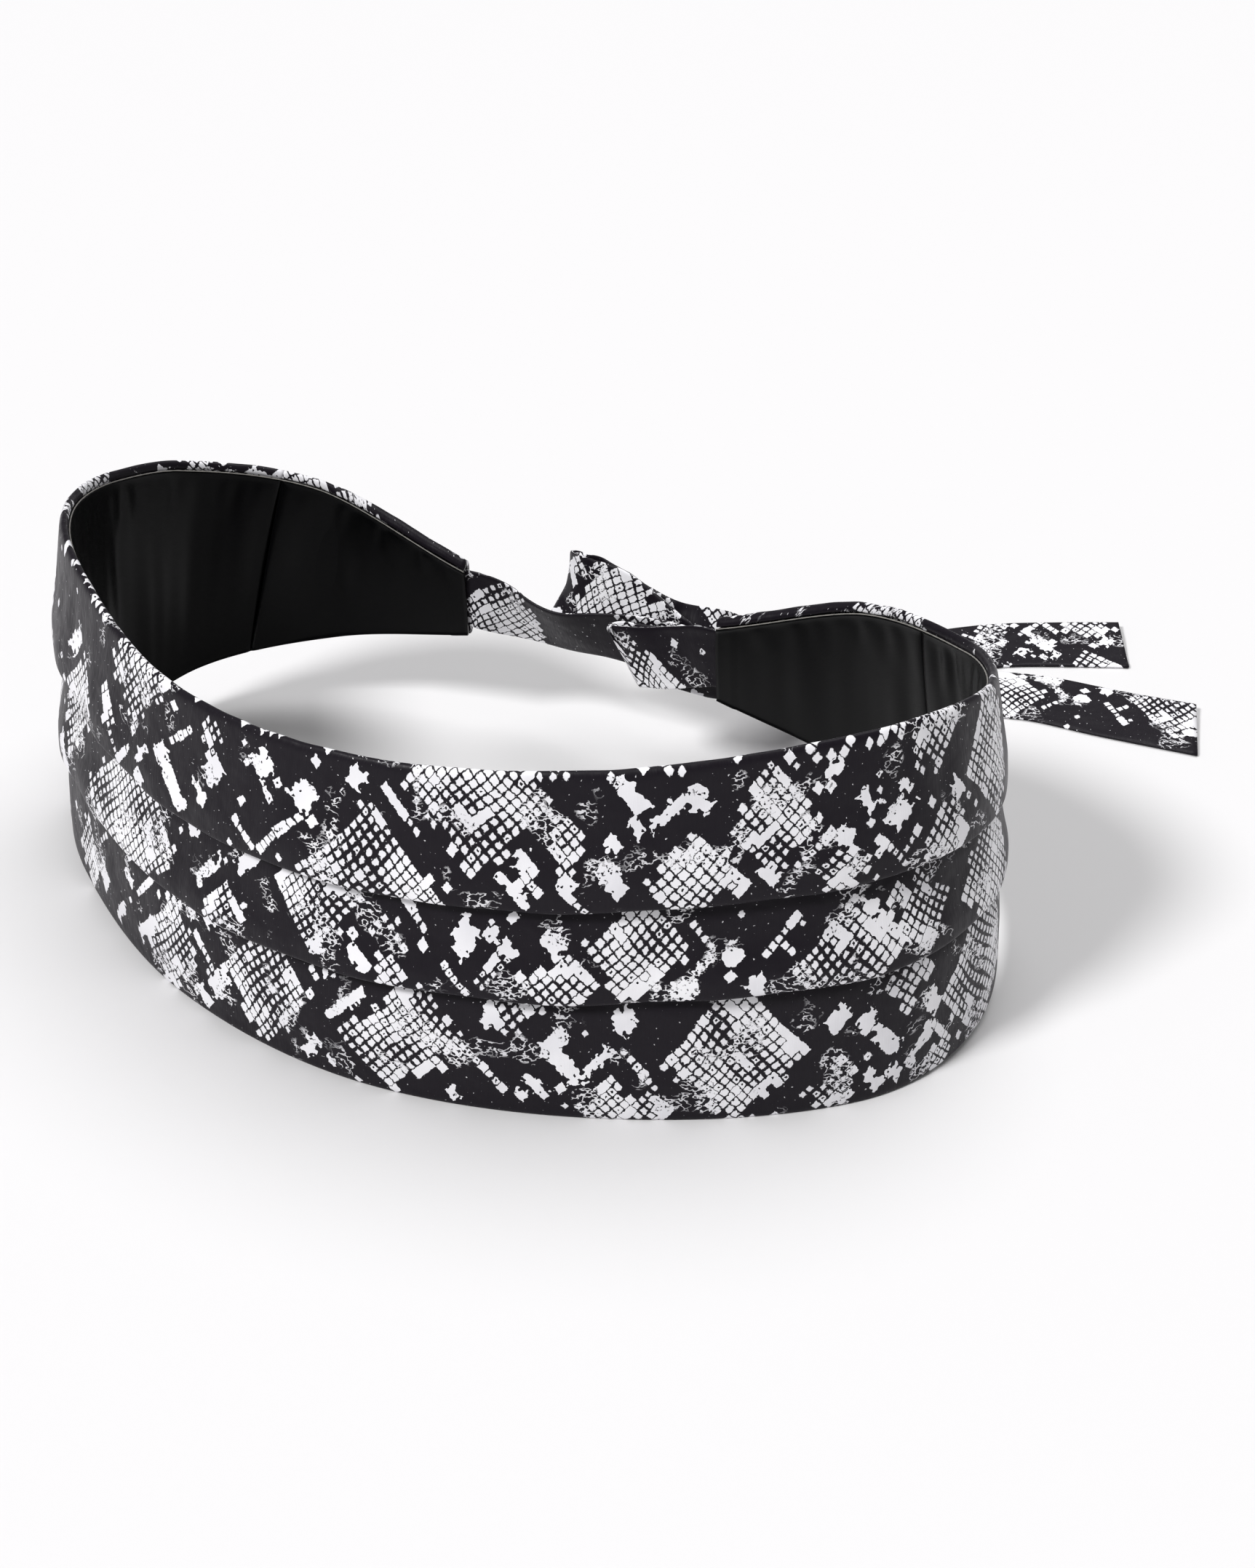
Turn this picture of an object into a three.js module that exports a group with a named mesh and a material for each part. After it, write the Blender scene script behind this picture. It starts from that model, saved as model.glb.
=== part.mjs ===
// Pleated cummerbund, fastened at the back with a half bow.
// Millimetres, +Z up. It stands on its hem: the origin is the front centre of the bottom hem,
// the front faces -Y, the wearer's sides are -X and +X, and the ties meet at the back.

import * as THREE from 'three';

// Driving dimensions
const WIDTH = 336; // widest plan size, side to side
const DEPTH = 204; // front of the band to its ends at the back
const HEIGHT = 122; // tallest height of the pleated front
const LEAN = 8; // how far the wall leans in from hem level to full height
const FACE = 1.6; // wall of a pleat or back panel: print cloth folded over its interlining
const LINING = 1.0; // wall of the satin lining
const TIE = 1.6; // thickness of a tie, sewn as a flat tube
const TIE_WIDTH = 25; // width of a tie where it leaves the band
const TAIL_REACH = 220; // straight distance from the knot to the end of either tail
const ROLL = 3.2; // how far the print cloth rolls over an edge onto the inside
const PUFF = 0.8; // how far the face of a pleat swells
const GAP = 0.3; // clearance between neighbouring pieces
const KNOT_PITCH = 4; // distance between the layers of the knot

// Places given as shares
const SEAM = 0.8; // side seams, share of the half length of the band
const POCKET = 0.93; // from here to the end the back panel opens for its tie
const POCKET_START = 0.965; // where the tie starts inside the pocket
const STRAIGHT_OUT = 0.2; // how far a tie leaves its pocket straight, share of its width
const IN_POCKET_WIDE = 0.91; // a tie's width where the rolled edges of its pocket hold it
const UPPER_FOLD = 0.63; // fold of the top pleat, share of the local height
const LOWER_FOLD = 0.36; // fold of the middle pleat, share of the local height
const LOWER_FOLD_RISE = 0.03; // what that share gains towards +X, and loses towards -X
const TUCK = 0.06; // how far a pleat reaches up behind the one above it, share of the local height
const SLANT = 0.09; // height over which a pleat swings out over the next, share of the local height

// Clearances that follow from the walls
const ON_LINING = LINING + GAP; // depth of cloth that lies on the lining
const ON_PLEAT = ON_LINING + FACE + GAP; // depth of cloth that lies over a tucked pleat
const ON_TIE = ON_LINING + TIE + GAP; // depth of the panel where it covers its tie
const ON_PLAN = ON_LINING + FACE; // depth of the line that the plan is drawn on

// The band in plan and height, from the end at -X round the front to the end at +X.
// along: share of the half length; across: share of WIDTH; back: share of DEPTH;
// top and bottom: shares of HEIGHT.
const BAND = [
  { along: -1.0, across: -0.186, back: 1.0, top: 0.565, bottom: 0.32 },
  { along: -0.86, across: -0.345, back: 0.974, top: 0.76, bottom: 0.235 },
  { along: -0.72, across: -0.479, back: 0.844, top: 0.845, bottom: 0.15 },
  { along: -0.64, across: -0.514, back: 0.706, top: 0.885, bottom: 0.095 },
  { along: -0.56, across: -0.507, back: 0.556, top: 0.925, bottom: 0.045 },
  { along: -0.48, across: -0.468, back: 0.42, top: 0.945, bottom: 0.01 },
  { along: -0.4, across: -0.407, back: 0.308, top: 0.935, bottom: 0 },
  { along: -0.2, across: -0.22, back: 0.092, top: 0.88, bottom: 0 },
  { along: 0, across: 0, back: 0, top: 0.895, bottom: 0 },
  { along: 0.2, across: 0.224, back: 0.068, top: 0.935, bottom: 0 },
  { along: 0.4, across: 0.42, back: 0.258, top: 0.995, bottom: 0 },
  { along: 0.48, across: 0.469, back: 0.385, top: 0.985, bottom: 0.01 },
  { along: 0.56, across: 0.484, back: 0.533, top: 0.94, bottom: 0.035 },
  { along: 0.64, across: 0.462, back: 0.68, top: 0.88, bottom: 0.077 },
  { along: 0.72, across: 0.412, back: 0.806, top: 0.825, bottom: 0.13 },
  { along: 0.86, across: 0.274, back: 0.932, top: 0.76, bottom: 0.222 },
  { along: 1.0, across: 0.114, back: 0.952, top: 0.6, bottom: 0.335 },
];

// The tie from -X: it turns half over, passes behind the other tie's fold, makes the loop
// above it and leaves behind everything. across and up: shares of TIE_WIDTH from the knot's
// centre; layer: number of knot pitches towards the back; roll: degrees that its upper edge
// turns; wide: share of TIE_WIDTH.
const LEFT_IN_KNOT = [
  { across: -1.25, layer: 0.35, up: -0.27, roll: 24, wide: 1 },
  { across: -0.6, layer: 0.75, up: -0.34, roll: 30, wide: 1 },
  { across: 0, layer: 1.3, up: -0.24, roll: 18, wide: 0.97 },
  { across: 0.55, layer: 1.5, up: -0.2, roll: 4, wide: 0.94 },
  { across: 1.0, layer: 1.6, up: -0.24, roll: 0, wide: 0.92 },
  { across: 1.24, layer: 1.75, up: -0.3, roll: 0, wide: 0.9 },
  { across: 1.34, layer: 2.2, up: -0.34, roll: 0, wide: 0.9 },
  { across: 1.22, layer: 2.65, up: -0.34, roll: 2, wide: 0.9 },
  { across: 0.95, layer: 2.75, up: -0.28, roll: 8, wide: 0.9 },
  { across: 0.46, layer: 2.75, up: -0.07, roll: 14, wide: 0.9 },
  { across: 0, layer: 2.75, up: 0.14, roll: 16, wide: 0.9 },
  { across: -0.4, layer: 2.8, up: 0.21, roll: 20, wide: 0.9 },
  { across: -0.67, layer: 3.05, up: 0.2, roll: 21, wide: 0.9 },
  { across: -0.77, layer: 3.75, up: 0.14, roll: 14, wide: 0.9 },
  { across: -0.68, layer: 4.5, up: 0.04, roll: -4, wide: 0.9 },
  { across: -0.36, layer: 4.85, up: -0.08, roll: -16, wide: 0.9 },
  { across: 0.17, layer: 4.9, up: -0.24, roll: -22, wide: 0.92 },
  { across: 0.75, layer: 4.85, up: -0.36, roll: -32, wide: 0.96 },
];

// The tie from +X: it folds back on itself along a slanted crease and leaves behind its end
// of the band. Columns as above.
const RIGHT_IN_KNOT = [
  { across: 1.5, layer: -1.0, up: -0.06, roll: -3, wide: 0.92 },
  { across: 1.12, layer: -0.8, up: -0.2, roll: 0, wide: 0.92 },
  { across: 0.75, layer: -0.65, up: -0.3, roll: -2, wide: 0.9 },
  { across: 0.52, layer: -0.45, up: -0.35, roll: -12, wide: 0.87 },
  { across: 0.42, layer: -0.15, up: -0.37, roll: -25, wide: 0.85 },
  { across: 0.52, layer: 0.2, up: -0.38, roll: -12, wide: 0.86 },
  { across: 0.75, layer: 0.4, up: -0.4, roll: 0, wide: 0.89 },
  { across: 1.2, layer: 0.55, up: -0.36, roll: 0, wide: 0.9 },
  { across: 1.7, layer: 0.85, up: -0.32, roll: 0, wide: 0.92 },
];

// The two tails, from the knot down behind the band to the surface and along it.
// across and back: shares of TAIL_REACH from the knot's centre; up: share of the knot's height,
// 0 where the tail lies on the surface; roll and wide as above; cut: degrees off square.
const LOWER_TAIL = [
  { across: 0.25, back: 0.01, up: 0.86, roll: -6, wide: 0.95 },
  { across: 0.31, back: 0.05, up: 0.74, roll: -22, wide: 1 },
  { across: 0.365, back: 0.14, up: 0.5, roll: -45, wide: 1.03 },
  { across: 0.4, back: 0.25, up: 0.26, roll: -64, wide: 1.08 },
  { across: 0.435, back: 0.36, up: 0.07, roll: -80, wide: 1.14 },
  { across: 0.495, back: 0.442, up: 0, roll: -86, wide: 1.2 },
  { across: 0.58, back: 0.474, up: 0, roll: -87, wide: 1.24 },
  { across: 0.72, back: 0.476, up: 0, roll: -87, wide: 1.27 },
  { across: 0.862, back: 0.482, up: 0, roll: -87, wide: 1.32, cut: 13 },
];
const UPPER_TAIL = [
  { across: 0.17, back: 0.1, up: 0.8, roll: -40, wide: 0.98 },
  { across: 0.215, back: 0.15, up: 0.69, roll: -48, wide: 1 },
  { across: 0.265, back: 0.265, up: 0.42, roll: -62, wide: 1.04 },
  { across: 0.31, back: 0.415, up: 0.13, roll: -78, wide: 1.1 },
  { across: 0.38, back: 0.545, up: 0.01, roll: -86, wide: 1.17 },
  { across: 0.475, back: 0.625, up: 0, roll: -87, wide: 1.22 },
  { across: 0.575, back: 0.675, up: 0, roll: -87, wide: 1.26 },
  { across: 0.673, back: 0.717, up: 0, roll: -87, wide: 1.3 },
];

// How finely the solids are faceted
const FRONT_STEPS = 56;
const PANEL_STEPS = 11;
const STEPS_PER_ROW = 3;
const UP = new THREE.Vector3(0, 0, 1);
const LEAN_DEGREES = THREE.MathUtils.radToDeg(Math.atan(LEAN / HEIGHT));

// The band's plan and heights as one smooth function of the share along it
const bandSamples = BAND.flatMap((row) => [
  row.across * WIDTH,
  row.back * DEPTH,
  row.top * HEIGHT,
  row.bottom * HEIGHT,
]);
const bandCurve = new THREE.CubicInterpolant(BAND.map((row) => row.along), bandSamples, 4);

function bandAt(along) {
  const step = 0.001;
  const sample = (share) => Array.from(bandCurve.evaluate(THREE.MathUtils.clamp(share, -1, 1)));
  const [x, y, top, bottom] = sample(along);
  const before = sample(along - step);
  const after = sample(along + step);
  const outward = new THREE.Vector2(after[1] - before[1], before[0] - after[0]).normalize();
  return { x, y, top, bottom: Math.max(bottom, 0), outward };
}

// A point of the wall: depth is measured outwards from the lining's inner face
function wallPoint(section, depth, z) {
  const offset = depth - ON_PLAN - (LEAN * z) / HEIGHT;
  return new THREE.Vector3(
    section.x + section.outward.x * offset,
    section.y + section.outward.y * offset,
    z,
  );
}

// A closed solid through rings of points, with flat ends cut into triangles from one outline
function loft(rings, outline) {
  const size = outline.length;
  const positions = rings.flat().flatMap((point) => [point.x, point.y, point.z]);
  const index = [];
  for (let ring = 0; ring < rings.length - 1; ring += 1) {
    for (let corner = 0; corner < size; corner += 1) {
      const a = ring * size + corner;
      const b = ring * size + ((corner + 1) % size);
      index.push(a, b, b + size, a, b + size, a + size);
    }
  }
  const last = (rings.length - 1) * size;
  for (const [a, b, c] of THREE.ShapeUtils.triangulateShape(outline, [])) {
    index.push(a, c, b, last + a, last + b, last + c);
  }
  const geometry = new THREE.BufferGeometry();
  geometry.setAttribute('position', new THREE.Float32BufferAttribute(positions, 3));
  geometry.setIndex(index);
  geometry.computeVertexNormals();
  return geometry;
}

// A wall of the band between two shares along it. The profile gives a [depth, z] outline that
// starts at the inner foot and climbs the outer face; seen along the band that is clockwise.
function bandWall(from, to, steps, profile) {
  const rings = [];
  for (let step = 0; step <= steps; step += 1) {
    const along = THREE.MathUtils.lerp(from, to, step / steps);
    const section = bandAt(along);
    const ring = profile(section, along).map(([depth, z]) => wallPoint(section, depth, z));
    rings.push(ring.reverse());
  }
  const ends = profile(bandAt(from), from).map(([depth, z]) => new THREE.Vector2(-depth, z));
  return loft(rings, ends.reverse());
}

// Heights of the two folds, and of the parts of a pleat that follow the local height
function folds(section, along) {
  const height = section.top - section.bottom;
  return {
    upper: section.bottom + UPPER_FOLD * height,
    lower: section.bottom + (LOWER_FOLD + LOWER_FOLD_RISE * along) * height,
    tuck: TUCK * height,
    slant: SLANT * height,
  };
}

// The rolled edge along the top, from the outer face over to the inside, and its mirror below
function rolledTop(outer, top) {
  return [
    [outer, top - ROLL / 2],
    [outer - 0.25 * outer, top - 0.1 * ROLL],
    [0.55 * outer, top],
    [0.2 * outer, top - 0.1 * ROLL],
    [0, top - ROLL / 2],
    [0, top - ROLL],
  ];
}

function rolledBottom(outer, bottom) {
  return [
    [0, bottom + ROLL],
    [0, bottom + 0.35 * ROLL],
    [0.15 * outer, bottom],
    [0.85 * outer, bottom],
    [outer, bottom + 0.35 * ROLL],
  ];
}

// The hanging fold of a pleat, from its inner side to its outer side
function hangingFold(z) {
  return [
    [ON_PLEAT, z + FACE / 2],
    [ON_PLEAT + FACE / 4, z],
    [ON_PLEAT + (3 * FACE) / 4, z],
    [ON_PLEAT + FACE, z + FACE / 2],
  ];
}

function topPleat(section, along) {
  const { upper, tuck, slant } = folds(section, along);
  const face = section.top - upper;
  return [
    ...hangingFold(upper),
    [ON_PLEAT + FACE + PUFF, upper + 0.3 * face],
    [(ON_PLEAT + ON_LINING) / 2 + FACE + PUFF, upper + 0.62 * face],
    ...rolledTop(ON_LINING + FACE, section.top),
    [ON_LINING, section.top - ROLL],
    [ON_LINING, upper + tuck + slant],
    [ON_PLEAT, upper + tuck],
  ];
}

function middlePleat(section, along) {
  const { upper, lower, tuck, slant } = folds(section, along);
  const face = upper - lower;
  return [
    ...hangingFold(lower),
    [ON_PLEAT + FACE + PUFF / 2, lower + 0.3 * face],
    [(ON_PLEAT + ON_LINING) / 2 + FACE + PUFF / 2, lower + 0.62 * face],
    [ON_LINING + FACE, upper - GAP],
    [ON_LINING + FACE, upper + tuck - GAP],
    [ON_LINING, upper + tuck - GAP],
    [ON_LINING, lower + tuck + slant],
    [ON_PLEAT, lower + tuck],
  ];
}

function bottomPleat(section, along) {
  const { lower, tuck } = folds(section, along);
  const face = lower - section.bottom;
  return [
    ...rolledBottom(ON_LINING + FACE, section.bottom),
    [ON_LINING + FACE + PUFF, section.bottom + 0.3 * face],
    [ON_LINING + FACE + PUFF, section.bottom + 0.6 * face],
    [ON_LINING + FACE, lower - GAP],
    [ON_LINING + FACE, lower + tuck - GAP],
    [ON_LINING, lower + tuck - GAP],
    [ON_LINING, section.bottom + ROLL],
  ];
}

// A plain back panel, which moves off the lining towards its end to hold the tie
function backPanel(section, along) {
  const open = THREE.MathUtils.smoothstep(Math.abs(along), SEAM, POCKET);
  const inner = THREE.MathUtils.lerp(ON_LINING, ON_TIE, open);
  const middle = (section.top + section.bottom) / 2;
  return [
    ...rolledBottom(inner + FACE, section.bottom),
    [inner + FACE + PUFF / 2, middle],
    ...rolledTop(inner + FACE, section.top),
    [ON_LINING, section.top - ROLL],
    [inner, section.top - ROLL / 2],
    [inner, middle],
    [inner, section.bottom + ROLL / 2],
    [ON_LINING, section.bottom + ROLL],
  ];
}

function lining(section) {
  const low = section.bottom + ROLL + GAP;
  const high = section.top - ROLL - GAP;
  const middle = (low + high) / 2;
  return [
    [0, low],
    [LINING, low],
    [LINING, middle],
    [LINING, high],
    [0, high],
    [0, middle],
  ];
}

// The knot lies midway between the two ends of the band
const leftEnd = bandAt(-1);
const rightEnd = bandAt(1);
const endToEnd = new THREE.Vector3(rightEnd.x - leftEnd.x, rightEnd.y - leftEnd.y, 0).normalize();
const towardsBack = new THREE.Vector3(-endToEnd.y, endToEnd.x, 0);
const knotCentre = new THREE.Vector3(
  (leftEnd.x + rightEnd.x) / 2,
  (leftEnd.y + rightEnd.y) / 2,
  (leftEnd.top + leftEnd.bottom + rightEnd.top + rightEnd.bottom) / 4,
);

function inKnot(row) {
  const at = knotCentre.clone()
    .addScaledVector(endToEnd, row.across * TIE_WIDTH)
    .addScaledVector(towardsBack, row.layer * KNOT_PITCH)
    .addScaledVector(UP, row.up * TIE_WIDTH);
  return { ...row, at };
}

function inTail(row) {
  const at = new THREE.Vector3(
    knotCentre.x + row.across * TAIL_REACH,
    knotCentre.y + row.back * TAIL_REACH,
    row.up * knotCentre.z,
  );
  return { ...row, at };
}

// The stretch of a tie inside the pocket at its end of the band, and straight on out of it
function inPocket(side) {
  const shares = [POCKET_START, (POCKET_START + 1) / 2, 1];
  const places = shares.map((share) => {
    const section = bandAt(side * share);
    return wallPoint(section, ON_LINING + TIE / 2, (section.top + section.bottom) / 2);
  });
  const heading = places[2].clone().sub(places[1]).normalize();
  places.push(places[2].clone().addScaledVector(heading, STRAIGHT_OUT * TIE_WIDTH));
  return places.map((at) => ({ at, roll: -side * LEAN_DEGREES, wide: IN_POCKET_WIDE }));
}

// A flat strip of cloth along rows of points. Its width is upright at roll 0 and lies flat
// at roll 90 or -90, and it never sinks into the surface that the object stands on.
function strip(rows) {
  const curve = new THREE.CatmullRomCurve3(rows.map((row) => row.at), false, 'centripetal');
  const turns = new THREE.CubicInterpolant(
    rows.map((row, place) => place),
    rows.flatMap((row) => [
      THREE.MathUtils.degToRad(row.roll),
      row.wide * TIE_WIDTH,
      Math.tan(THREE.MathUtils.degToRad(row.cut ?? 0)),
    ]),
    3,
  );
  const outline = [
    [-0.5, -0.2], [-0.46, -0.5], [0, -0.5], [0.46, -0.5],
    [0.5, 0.2], [0.46, 0.5], [0, 0.5], [-0.46, 0.5],
  ].map(([across, through]) => new THREE.Vector2(across, through));
  const steps = (rows.length - 1) * STEPS_PER_ROW;
  const rings = [];
  for (let step = 0; step <= steps; step += 1) {
    const along = curve.getTangent(step / steps);
    const [roll, width, skew] = Array.from(turns.evaluate(step / STEPS_PER_ROW));
    const upright = UP.clone().addScaledVector(along, -UP.dot(along)).normalize();
    const side = along.clone().cross(upright);
    const across = upright.multiplyScalar(Math.cos(roll)).addScaledVector(side, Math.sin(roll));
    const through = along.clone().cross(across);
    const centre = curve.getPoint(step / steps);
    const reach = (width / 2) * Math.abs(across.z) + (TIE / 2) * Math.abs(through.z);
    centre.z = Math.max(centre.z, reach);
    rings.push(outline.map((corner) => centre.clone()
      .addScaledVector(across, corner.x * width)
      .addScaledVector(along, -corner.x * width * skew)
      .addScaledVector(through, corner.y * TIE)));
  }
  return loft(rings, outline);
}

// Finishes
const printedSatin = { color: 0x6f6d72, roughness: 0.5, metalness: 0 };
const liningSatin = { color: 0x131214, roughness: 0.4, metalness: 0 };

// The middle of the hem's wall stands over the origin
const cummerbund = new THREE.Group();
cummerbund.position.y = -ON_PLAN / 2;

function add(name, geometry, finish) {
  const mesh = new THREE.Mesh(geometry, new THREE.MeshStandardMaterial(finish));
  mesh.name = name;
  cummerbund.add(mesh);
}

// Half the clearance at a side seam, as a share of the half length of the band
const bandLength = new THREE.CatmullRomCurve3(
  BAND.map((row) => new THREE.Vector3(row.across * WIDTH, row.back * DEPTH, 0)),
).getLength();
const seamGap = GAP / bandLength;

const frontWall = (profile) => bandWall(-SEAM + seamGap, SEAM - seamGap, FRONT_STEPS, profile);
const leftWall = (profile) => bandWall(-1, -SEAM - seamGap, PANEL_STEPS, profile);
const rightWall = (profile) => bandWall(SEAM + seamGap, 1, PANEL_STEPS, profile);

add('pleat_top', frontWall(topPleat), printedSatin);
add('pleat_middle', frontWall(middlePleat), printedSatin);
add('pleat_bottom', frontWall(bottomPleat), printedSatin);
add('back_panel_left', leftWall(backPanel), printedSatin);
add('back_panel_right', rightWall(backPanel), printedSatin);
add('lining_front', frontWall(lining), liningSatin);
add('lining_left', leftWall(lining), liningSatin);
add('lining_right', rightWall(lining), liningSatin);

const leftRows = [...inPocket(-1), ...LEFT_IN_KNOT.map(inKnot), ...UPPER_TAIL.map(inTail)];
const rightRows = [...inPocket(1), ...RIGHT_IN_KNOT.map(inKnot), ...LOWER_TAIL.map(inTail)];
add('tie_left', strip(leftRows), printedSatin);
add('tie_right', strip(rightRows), printedSatin);

export default cummerbund;
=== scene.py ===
"""A pleated cummerbund in snakeskin-print satin, standing on its hem and tied at the back.

The band's plan, heights and folds are worked out in millimetres from a few driving sizes and
one table of shares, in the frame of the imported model, and turned into metres as meshes are
made. Every piece of cloth is a closed shell that takes the place of its solid.
"""

import logging
import math
from dataclasses import dataclass, field
from enum import Enum

import bpy
import numpy as np
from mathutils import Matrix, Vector


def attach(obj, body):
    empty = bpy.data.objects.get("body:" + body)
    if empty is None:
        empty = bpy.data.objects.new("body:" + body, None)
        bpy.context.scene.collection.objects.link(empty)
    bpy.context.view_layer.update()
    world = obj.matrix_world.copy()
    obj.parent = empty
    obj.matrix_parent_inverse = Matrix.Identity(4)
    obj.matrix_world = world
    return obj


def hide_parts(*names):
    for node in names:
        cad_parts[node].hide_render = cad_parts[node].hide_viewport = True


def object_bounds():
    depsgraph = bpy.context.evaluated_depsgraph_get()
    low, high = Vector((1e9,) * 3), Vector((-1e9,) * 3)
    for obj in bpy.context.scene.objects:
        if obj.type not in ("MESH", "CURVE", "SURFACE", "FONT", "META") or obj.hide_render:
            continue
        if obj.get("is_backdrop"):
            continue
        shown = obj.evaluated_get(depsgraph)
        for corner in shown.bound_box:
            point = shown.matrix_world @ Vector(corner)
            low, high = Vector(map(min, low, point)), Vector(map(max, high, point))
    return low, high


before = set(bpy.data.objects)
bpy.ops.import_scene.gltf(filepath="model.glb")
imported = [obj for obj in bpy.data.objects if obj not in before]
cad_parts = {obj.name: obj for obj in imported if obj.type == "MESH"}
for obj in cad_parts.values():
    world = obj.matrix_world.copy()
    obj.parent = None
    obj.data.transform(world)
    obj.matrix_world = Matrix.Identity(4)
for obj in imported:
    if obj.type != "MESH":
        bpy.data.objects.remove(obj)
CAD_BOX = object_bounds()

LOG = logging.getLogger("cummerbund")
METRES = 0.001
BODY = "root"
Socket = bpy.types.NodeSocket


class Slot(Enum):
    """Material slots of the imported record."""

    PRINT = "print_satin"
    LINING = "lining_satin"


# Shape of the band and the ties


@dataclass(frozen=True)
class BandRow:
    """One station of the band: shares of half its length, its width, its depth and its height."""

    along: float
    across: float
    back: float
    top: float
    bottom: float


@dataclass(frozen=True)
class TieRow:
    """One station of a tie: its place in shares, its upper edge's turn, its width and its slant."""

    across: float
    back: float
    up: float
    roll: float  # degrees that the upper edge turns out of the upright
    wide: float
    cut: float = 0.0  # degrees that the station slants along the tie


@dataclass(frozen=True)
class Sizes:
    """Driving sizes in millimetres, the same as the solids have."""

    width: float = 336.0
    depth: float = 204.0
    height: float = 122.0
    lean: float = 8.0
    face: float = 1.6
    lining: float = 1.0
    tie: float = 1.6
    tie_width: float = 25.0
    tail_reach: float = 220.0
    roll: float = 3.2
    puff: float = 0.8
    gap: float = 0.3
    knot_pitch: float = 4.0

    @property
    def on_lining(self) -> float:
        """Depth of cloth that lies on the lining."""
        return self.lining + self.gap

    @property
    def on_pleat(self) -> float:
        """Depth of cloth that lies over a tucked pleat."""
        return self.on_lining + self.face + self.gap

    @property
    def on_tie(self) -> float:
        """Depth of a back panel where it covers its tie."""
        return self.on_lining + self.tie + self.gap

    @property
    def on_plan(self) -> float:
        """Depth of the line that the plan is drawn on."""
        return self.on_lining + self.face


@dataclass(frozen=True)
class Shares:
    """Places given as shares: seams and pockets along the band, folds up its height."""

    seam: float = 0.8
    pocket: float = 0.93
    pocket_start: float = 0.965
    in_pocket_wide: float = 0.91
    straight_out: float = 0.2
    upper_fold: float = 0.63
    lower_fold: float = 0.36
    lower_fold_rise: float = 0.03
    tuck: float = 0.06
    slant: float = 0.09


SIZES = Sizes()
SHARES = Shares()
SEAM_GAP = 0.00005  # share of half the band between cloths that are sewn together

BAND = (
    BandRow(-1.0, -0.186, 1.0, 0.565, 0.32),
    BandRow(-0.86, -0.345, 0.974, 0.76, 0.235),
    BandRow(-0.72, -0.479, 0.844, 0.845, 0.15),
    BandRow(-0.64, -0.514, 0.706, 0.885, 0.095),
    BandRow(-0.56, -0.507, 0.556, 0.925, 0.045),
    BandRow(-0.48, -0.468, 0.42, 0.945, 0.01),
    BandRow(-0.4, -0.407, 0.308, 0.935, 0.0),
    BandRow(-0.2, -0.22, 0.092, 0.88, 0.0),
    BandRow(0.0, 0.0, 0.0, 0.895, 0.0),
    BandRow(0.2, 0.224, 0.068, 0.935, 0.0),
    BandRow(0.4, 0.42, 0.258, 0.995, 0.0),
    BandRow(0.48, 0.469, 0.385, 0.985, 0.01),
    BandRow(0.56, 0.484, 0.533, 0.94, 0.035),
    BandRow(0.64, 0.462, 0.68, 0.88, 0.077),
    BandRow(0.72, 0.412, 0.806, 0.825, 0.13),
    BandRow(0.86, 0.274, 0.932, 0.76, 0.222),
    BandRow(1.0, 0.114, 0.952, 0.6, 0.335),
)

# In the knot, across and up are shares of the tie's width and back counts knot pitches. The
# left tie passes behind the right one's fold, makes the loop above it and leaves behind both.
# These rows lie a few millimetres off the solids' own and slant more, as soft cloth does.
LEFT_IN_KNOT = (
    TieRow(-1.25, 0.35, -0.27, 24, 1),
    TieRow(-0.6, 0.75, -0.36, 30, 0.95),
    TieRow(0, 1.3, -0.31, 18, 0.85),
    TieRow(0.55, 1.5, -0.27, 4, 0.82),
    TieRow(1.0, 1.6, -0.27, 0, 0.86),
    TieRow(1.24, 1.75, -0.3, 0, 0.9),
    TieRow(1.34, 2.2, -0.34, 0, 0.9),
    TieRow(1.22, 2.65, -0.34, 2, 0.9),
    TieRow(0.95, 2.75, -0.28, 8, 0.9),
    TieRow(0.46, 2.75, -0.05, 14, 0.92),
    TieRow(0, 2.75, 0.13, 16, 0.96, 8),
    TieRow(-0.42, 2.8, 0.16, 15, 0.96, 8),
    TieRow(-0.72, 3.3, 0.13, 14.5, 0.95, 0),
    TieRow(-0.86, 4.25, 0.08, 11, 0.93, -18),
    TieRow(-0.68, 5.3, 0.04, -4, 0.9, -21),
    TieRow(-0.3, 5.6, -0.08, -18, 0.9, -14),
    TieRow(0.17, 5.3, -0.24, -22, 0.92, -5),
    TieRow(0.75, 4.85, -0.36, -32, 0.96),
)
RIGHT_IN_KNOT = (
    TieRow(1.5, -1.0, -0.06, -3, 0.92),
    TieRow(1.12, -0.8, -0.2, 0, 0.92),
    TieRow(0.75, -0.65, -0.3, 0, 0.9, -18),
    TieRow(0.52, -0.45, -0.35, -3, 0.87, -26),
    TieRow(0.42, -0.15, -0.36, -26, 0.85),
    TieRow(0.52, 0.2, -0.33, -3, 0.86, 26),
    TieRow(0.75, 0.4, -0.32, 0, 0.89, 18),
    TieRow(1.2, 0.55, -0.3, 0, 0.9),
    TieRow(1.7, 0.85, -0.32, 0, 0.92),
)

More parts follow.
